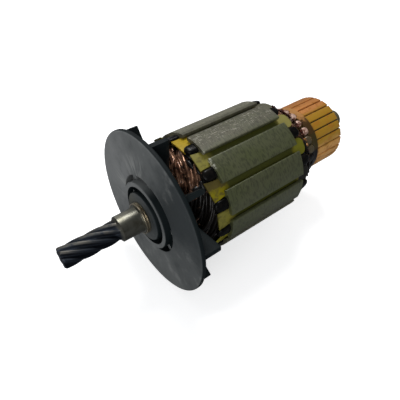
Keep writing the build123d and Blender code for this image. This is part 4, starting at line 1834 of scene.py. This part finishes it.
@dataclass
class Leads:
    """The wires from the winding to the hooks, the drops of varnish on the hooks and the resin behind them.

    Each row of numbers is in millimetres. The foot and the rise hold (place along the shaft, radius),
    the over and the run (place along the shaft, height over the bars). Places count from the core's
    rear for the foot, from the hooks' rear for the run and from their front for the others.
    """

    commutator: Commutator
    radius: float = 0.42 * MM
    apart: float = 0.030
    foot: tuple[float, float] = (7.2, 15.9)
    rise: tuple[tuple[float, float], ...] = ((-3.0, 14.7), (-1.6, 13.5))
    over: tuple[tuple[float, float], ...] = ((-0.7, 0.1), (0.3, 0.05), (1.6, 0.0))
    drop_place: float = 0.35 * MM
    drop_lift: float = 0.35 * MM
    drop_half: tuple[float, float, float] = (1.3, 0.95, 1.25)
    drop_above: float = 0.2 * MM
    drop_seed: int = 77
    run: tuple[tuple[float, float], ...] = (
        (-0.3, 0.0),
        (-0.3, 0.5),
        (0.5, 0.4),
        (1.6, 0.16),
        (3.0, 0.05),
        (3.2, 0.0),
    )
    run_lift: float = 0.02 * MM
    run_round: float = 0.4 * MM
    run_height: float = 0.6 * MM
    run_wave: float = 0.12 * MM
    blob_angle: float = 196.0
    blob_spread: float = 15.0
    blob_height: float = 0.75 * MM

    def wires(self) -> bpy.types.Object:
        """Builds two wires to each hook: up from the winding, over its shoulder and round the hook.

        Each pair lies a fixed angle apart at the hook and spreads and wanders towards the winding,
        with the power 1.5 of the share of its length that is left.

        Returns:
            The wires' object.
        """
        hook = PLACES.bar_front + self.commutator.hook_setback
        seat = PLACES.bar_radius + self.radius
        points = [(PLACES.core_rear + self.foot[0] * MM, self.foot[1] * MM)]
        points += [(hook + x * MM, radius * MM) for x, radius in self.rise]
        points += [(hook + x * MM, seat + height * MM) for x, height in self.over]
        line = smooth_line(points, 26)
        count = self.commutator.bars
        t = np.linspace(0, 1, len(line))
        turns = even_angles(self.commutator.phase, count, 1)
        surface = Surface()
        for side in (-1, 1):
            wander = np.stack([ripple(t, 500 + 7 * i + side, 3, 1.0) for i in range(count)])
            apart = side * self.apart + (1 - t) ** 1.5 * (0.10 * wander + side * 0.05)
            paths = polar(line[:, 0], line[:, 1] + 0.2 * MM * wander * (1 - t), turns + apart)
            surface.tubes(paths, self.radius * 0.85, polar(0.0, 1.0, turns + math.pi / 2), 8)
        return surface.build("lead_wires", 60.0)

    def joints(self) -> bpy.types.Object:
        """Builds a glossy drop over each hook: a sphere flattened along the radius.

        Returns:
            The drops' object.
        """
        count = self.commutator.bars
        draw = np.random.default_rng(self.drop_seed)
        size = draw.uniform(0.95, 1.4, count)
        x = PLACES.bar_front + self.drop_place + draw.uniform(-0.3, 0.3, count) * MM
        out = np.full(count, PLACES.bar_radius + self.drop_lift)
        middle = np.column_stack([x, out, even_angles(self.commutator.phase, count, 0)])
        surface = Surface()
        surface.lumps(middle, size[:, None] * self.drop_half * MM, PLACES.hook_radius + self.drop_above)
        return surface.build("lead_joints", 60.0)

    def resin(self) -> bpy.types.Object:
        """Builds the resin band: a turned profile whose outer rows wander in height.

        At one angle a blob is added, whose height is the root of one less the square of the angle
        from its middle over its spread.

        Returns:
            The band's object.
        """
        start = PLACES.bar_front + self.commutator.hook_setback + self.commutator.hook_length
        seat = PLACES.bar_radius + self.run_lift
        rows = round_corners([(start + x * MM, seat + height * MM) for x, height in self.run], self.run_round)
        angle = np.linspace(0, 1, 160, endpoint=False)
        wave = ripple(angle, 9, 6, 5.0) + ripple(angle, 10, 4, 17.0) * 0.5
        share = np.clip((rows[:, 1:] - seat) / self.run_height, 0, 1)
        apart = np.abs(np.mod(angle * 360.0 - self.blob_angle + 180.0, 360.0) - 180.0)
        blob = self.blob_height * np.sqrt(np.clip(1 - (apart / self.blob_spread) ** 2, 0, 1))
        surface = Surface()
        surface.revolve(rows, 160, share * (self.run_wave * wave + blob), closed=True)
        return surface.build("resin_run", 60.0)

    def dress(self, wire: bpy.types.Material, drop: bpy.types.Material, resin: bpy.types.Material) -> None:
        """Builds and finishes the wires, the drops and the resin.

        Args:
            wire: the wires' material.
            drop: the drops' material.
            resin: the band's material.
        """
        dress(self.wires(), wire, "magnet_wire", "coil_leads")
        dress(self.joints(), drop, "magnet_wire")
        dress(self.resin(), resin, "resin", "resin_band")


@dataclass(frozen=True)
class Lamp:
    """A soft square lamp: its place from the core's middle and its side in metres, and its watts."""

    name: str
    place: tuple[float, float, float]
    size: float
    watts: float


@dataclass
class Studio:
    """The floor, the lights and the camera at the photograph's viewing angle."""

    camera_place: tuple[float, float, float] = (-56.89 * MM, -77.19 * MM, 86.80 * MM)
    azimuth: float = math.radians(322.089)
    elevation: float = math.radians(43.3975)
    lens: float = 36.553
    floor_drop: float = 0.3 * MM
    floor_half: float = 1.2
    paper: Colour = (0.25, 0.26, 0.275)
    mirrored_paper: Colour = (0.15, 0.155, 0.165)
    seen_paper: Colour = (0.8, 0.8, 0.8)
    seen_glow: Colour = (0.55, 0.55, 0.55)
    sky: Colour = (0.36, 0.37, 0.385)
    mirrored_sky: Colour = (0.05, 0.053, 0.06)
    seen_sky: Colour = (1.0, 1.0, 1.0)
    lamps: tuple[Lamp, ...] = (
        Lamp("key", (0.2, 0.32, 0.75), 0.3, 4.6),
        Lamp("front", (-0.55, -0.45, 0.3), 0.6, 3.6),
        Lamp("back", (0.0, 0.7, 0.15), 0.6, 0.8),
    )

    def floor(self) -> None:
        """Lays a floor under the fan's lowest point, pale for the camera and darker in reflections."""
        side = np.linspace(-self.floor_half, self.floor_half, 3)
        x, y = np.meshgrid(side, side, indexing="ij")
        z = np.full_like(x, -PLACES.fan_radius - self.floor_drop)
        surface = Surface()
        surface.grid(np.stack([x, y, z], axis=-1))
        floor = surface.build("floor")
        shader = Shader("floor_paper")
        seen = shader.ray("Is Camera Ray")
        mirrored = shader.ray("Is Glossy Ray")
        paper = shader.finish(
            Base_Color=shader.layers(self.paper, (mirrored, self.mirrored_paper), (seen, self.seen_paper)),
            Roughness=0.9,
            Specular_IOR_Level=0.1,
            Emission_Color=shader.blend(seen, (0.0, 0.0, 0.0), self.seen_glow),
            Emission_Strength=1.0,
        )
        floor.data.materials.append(paper)

    def world(self) -> None:
        """Lights the scene softly all round, darker for reflections and white for the camera."""
        world = bpy.data.worlds.new("studio")
        bpy.context.scene.world = world
        world.use_nodes = True
        tree = world.node_tree
        path = tree.nodes.new("ShaderNodeLightPath")
        shown = tree.nodes["Background"].outputs[0]
        tree.nodes["Background"].inputs["Color"].default_value = as_colour(self.sky)
        for ray, colour in (("Is Glossy Ray", self.mirrored_sky), ("Is Camera Ray", self.seen_sky)):
            back, mix = tree.nodes.new("ShaderNodeBackground"), tree.nodes.new("ShaderNodeMixShader")
            back.inputs["Color"].default_value = as_colour(colour)
            tree.links.new(path.outputs[ray], mix.inputs[0])
            tree.links.new(shown, mix.inputs[1])
            tree.links.new(back.outputs[0], mix.inputs[2])
            shown = mix.outputs[0]
        tree.links.new(shown, tree.nodes["World Output"].inputs[0])

    def light(self, lamp: Lamp) -> None:
        """Adds a lamp that points at the core's middle.

        Args:
            lamp: which lamp.
        """
        data = bpy.data.lights.new(lamp.name, "AREA")
        data.shape, data.size, data.energy = "SQUARE", lamp.size, lamp.watts
        source = bpy.data.objects.new(lamp.name, data)
        target = Vector(((PLACES.core_front + PLACES.core_rear) / 2, 0, 0))
        source.location = target + Vector(lamp.place)
        source.rotation_euler = (-Vector(lamp.place)).to_track_quat("-Z", "Y").to_euler()
        bpy.context.scene.collection.objects.link(source)

    def camera(self) -> None:
        """Places the camera: upright, at a fixed azimuth and elevation, from the core's front end."""
        data = bpy.data.cameras.new("camera")
        data.lens, data.sensor_width = self.lens, 36.0
        data.clip_start, data.clip_end = 0.005, 10.0
        camera = bpy.data.objects.new("camera", data)
        a, e = self.azimuth, self.elevation
        back = Vector((math.sin(a) * math.cos(e), -math.cos(a) * math.cos(e), math.sin(e)))
        right = Vector((math.cos(a), math.sin(a), 0))
        up = back.cross(right)
        turn = Matrix((right, up, back)).transposed()
        place = Vector(self.camera_place) + Vector((PLACES.core_front, 0, 0))
        camera.matrix_world = Matrix.Translation(place) @ turn.to_4x4()
        bpy.context.scene.collection.objects.link(camera)
        bpy.context.scene.camera = camera

    def build(self) -> None:
        """Builds the whole studio."""
        self.floor()
        self.world()
        for lamp in self.lamps:
            self.light(lamp)
        self.camera()
        bpy.context.scene.view_settings.view_transform = "Standard"


def main() -> None:
    """Builds the armature's pieces in order, then the studio."""
    logging.basicConfig(level=logging.INFO, format="%(name)s %(message)s")
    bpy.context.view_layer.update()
    Shaft().dress()
    ThrustRing().dress()
    Fan().dress()
    core = Core()
    core.dress()
    black = Moulded("black_moulding", (0.003, 0.003, 0.003), (0.007, 0.006, 0.005), 0.2, gloss=0.1).material()
    for node, plate_x, outward, sleeve_end, bore in (
        ("front_insulator", PLACES.core_front, -1, PLACES.fan_rear + SLEEVE_GAP, FRONT_BORE),
        ("rear_insulator", PLACES.core_rear, 1, PLACES.bush_front - SLEEVE_GAP, REAR_BORE),
    ):
        EndInsulator(node, plate_x, outward, sleeve_end, bore, core).dress(black)
    SlotStrips(core).dress()
    paper = Moulded("slot_paper", (0.2, 0.18, 0.07), (0.1, 0.09, 0.03), 0.5).material()
    for slot in range(core.slots):
        repaint(f"slot_liner_{slot + 1:02d}", paper)
    Winding(core).dress(MagnetWire("magnet_wire").material())
    lumps = Moulded("set_resin", (0.004, 0.005, 0.006), (0.016, 0.014, 0.013), 0.25, coat=0.1, gloss=0.3)
    ResinDrops().dress(lumps.material())
    commutator = Commutator()
    hub = Moulded("hub_moulding", (0.07, 0.045, 0.012), (0.11, 0.09, 0.035), 0.5, gloss=0.2)
    bush = TurnedSteel("bush_steel", (0.36, 0.34, 0.3), (0.2, 0.18, 0.15), 0.35)
    commutator.dress(BarCopper().material(), hub.material(), bush.material())
    # The leads get painted shade round their dark angle and a painted highlight at their bright angle.
    lead = MagnetWire(
        "lead_wire",
        copper=(0.16, 0.035, 0.02),
        brown=(0.06, 0.012, 0.008),
        dark_angle=200.0,
        painted_glint_angle=142.0,
    )
    Leads(commutator).dress(lead.material(), JointVarnish().material(), DripResin().material())
    Studio().build()


if __name__ == "__main__":
    main()
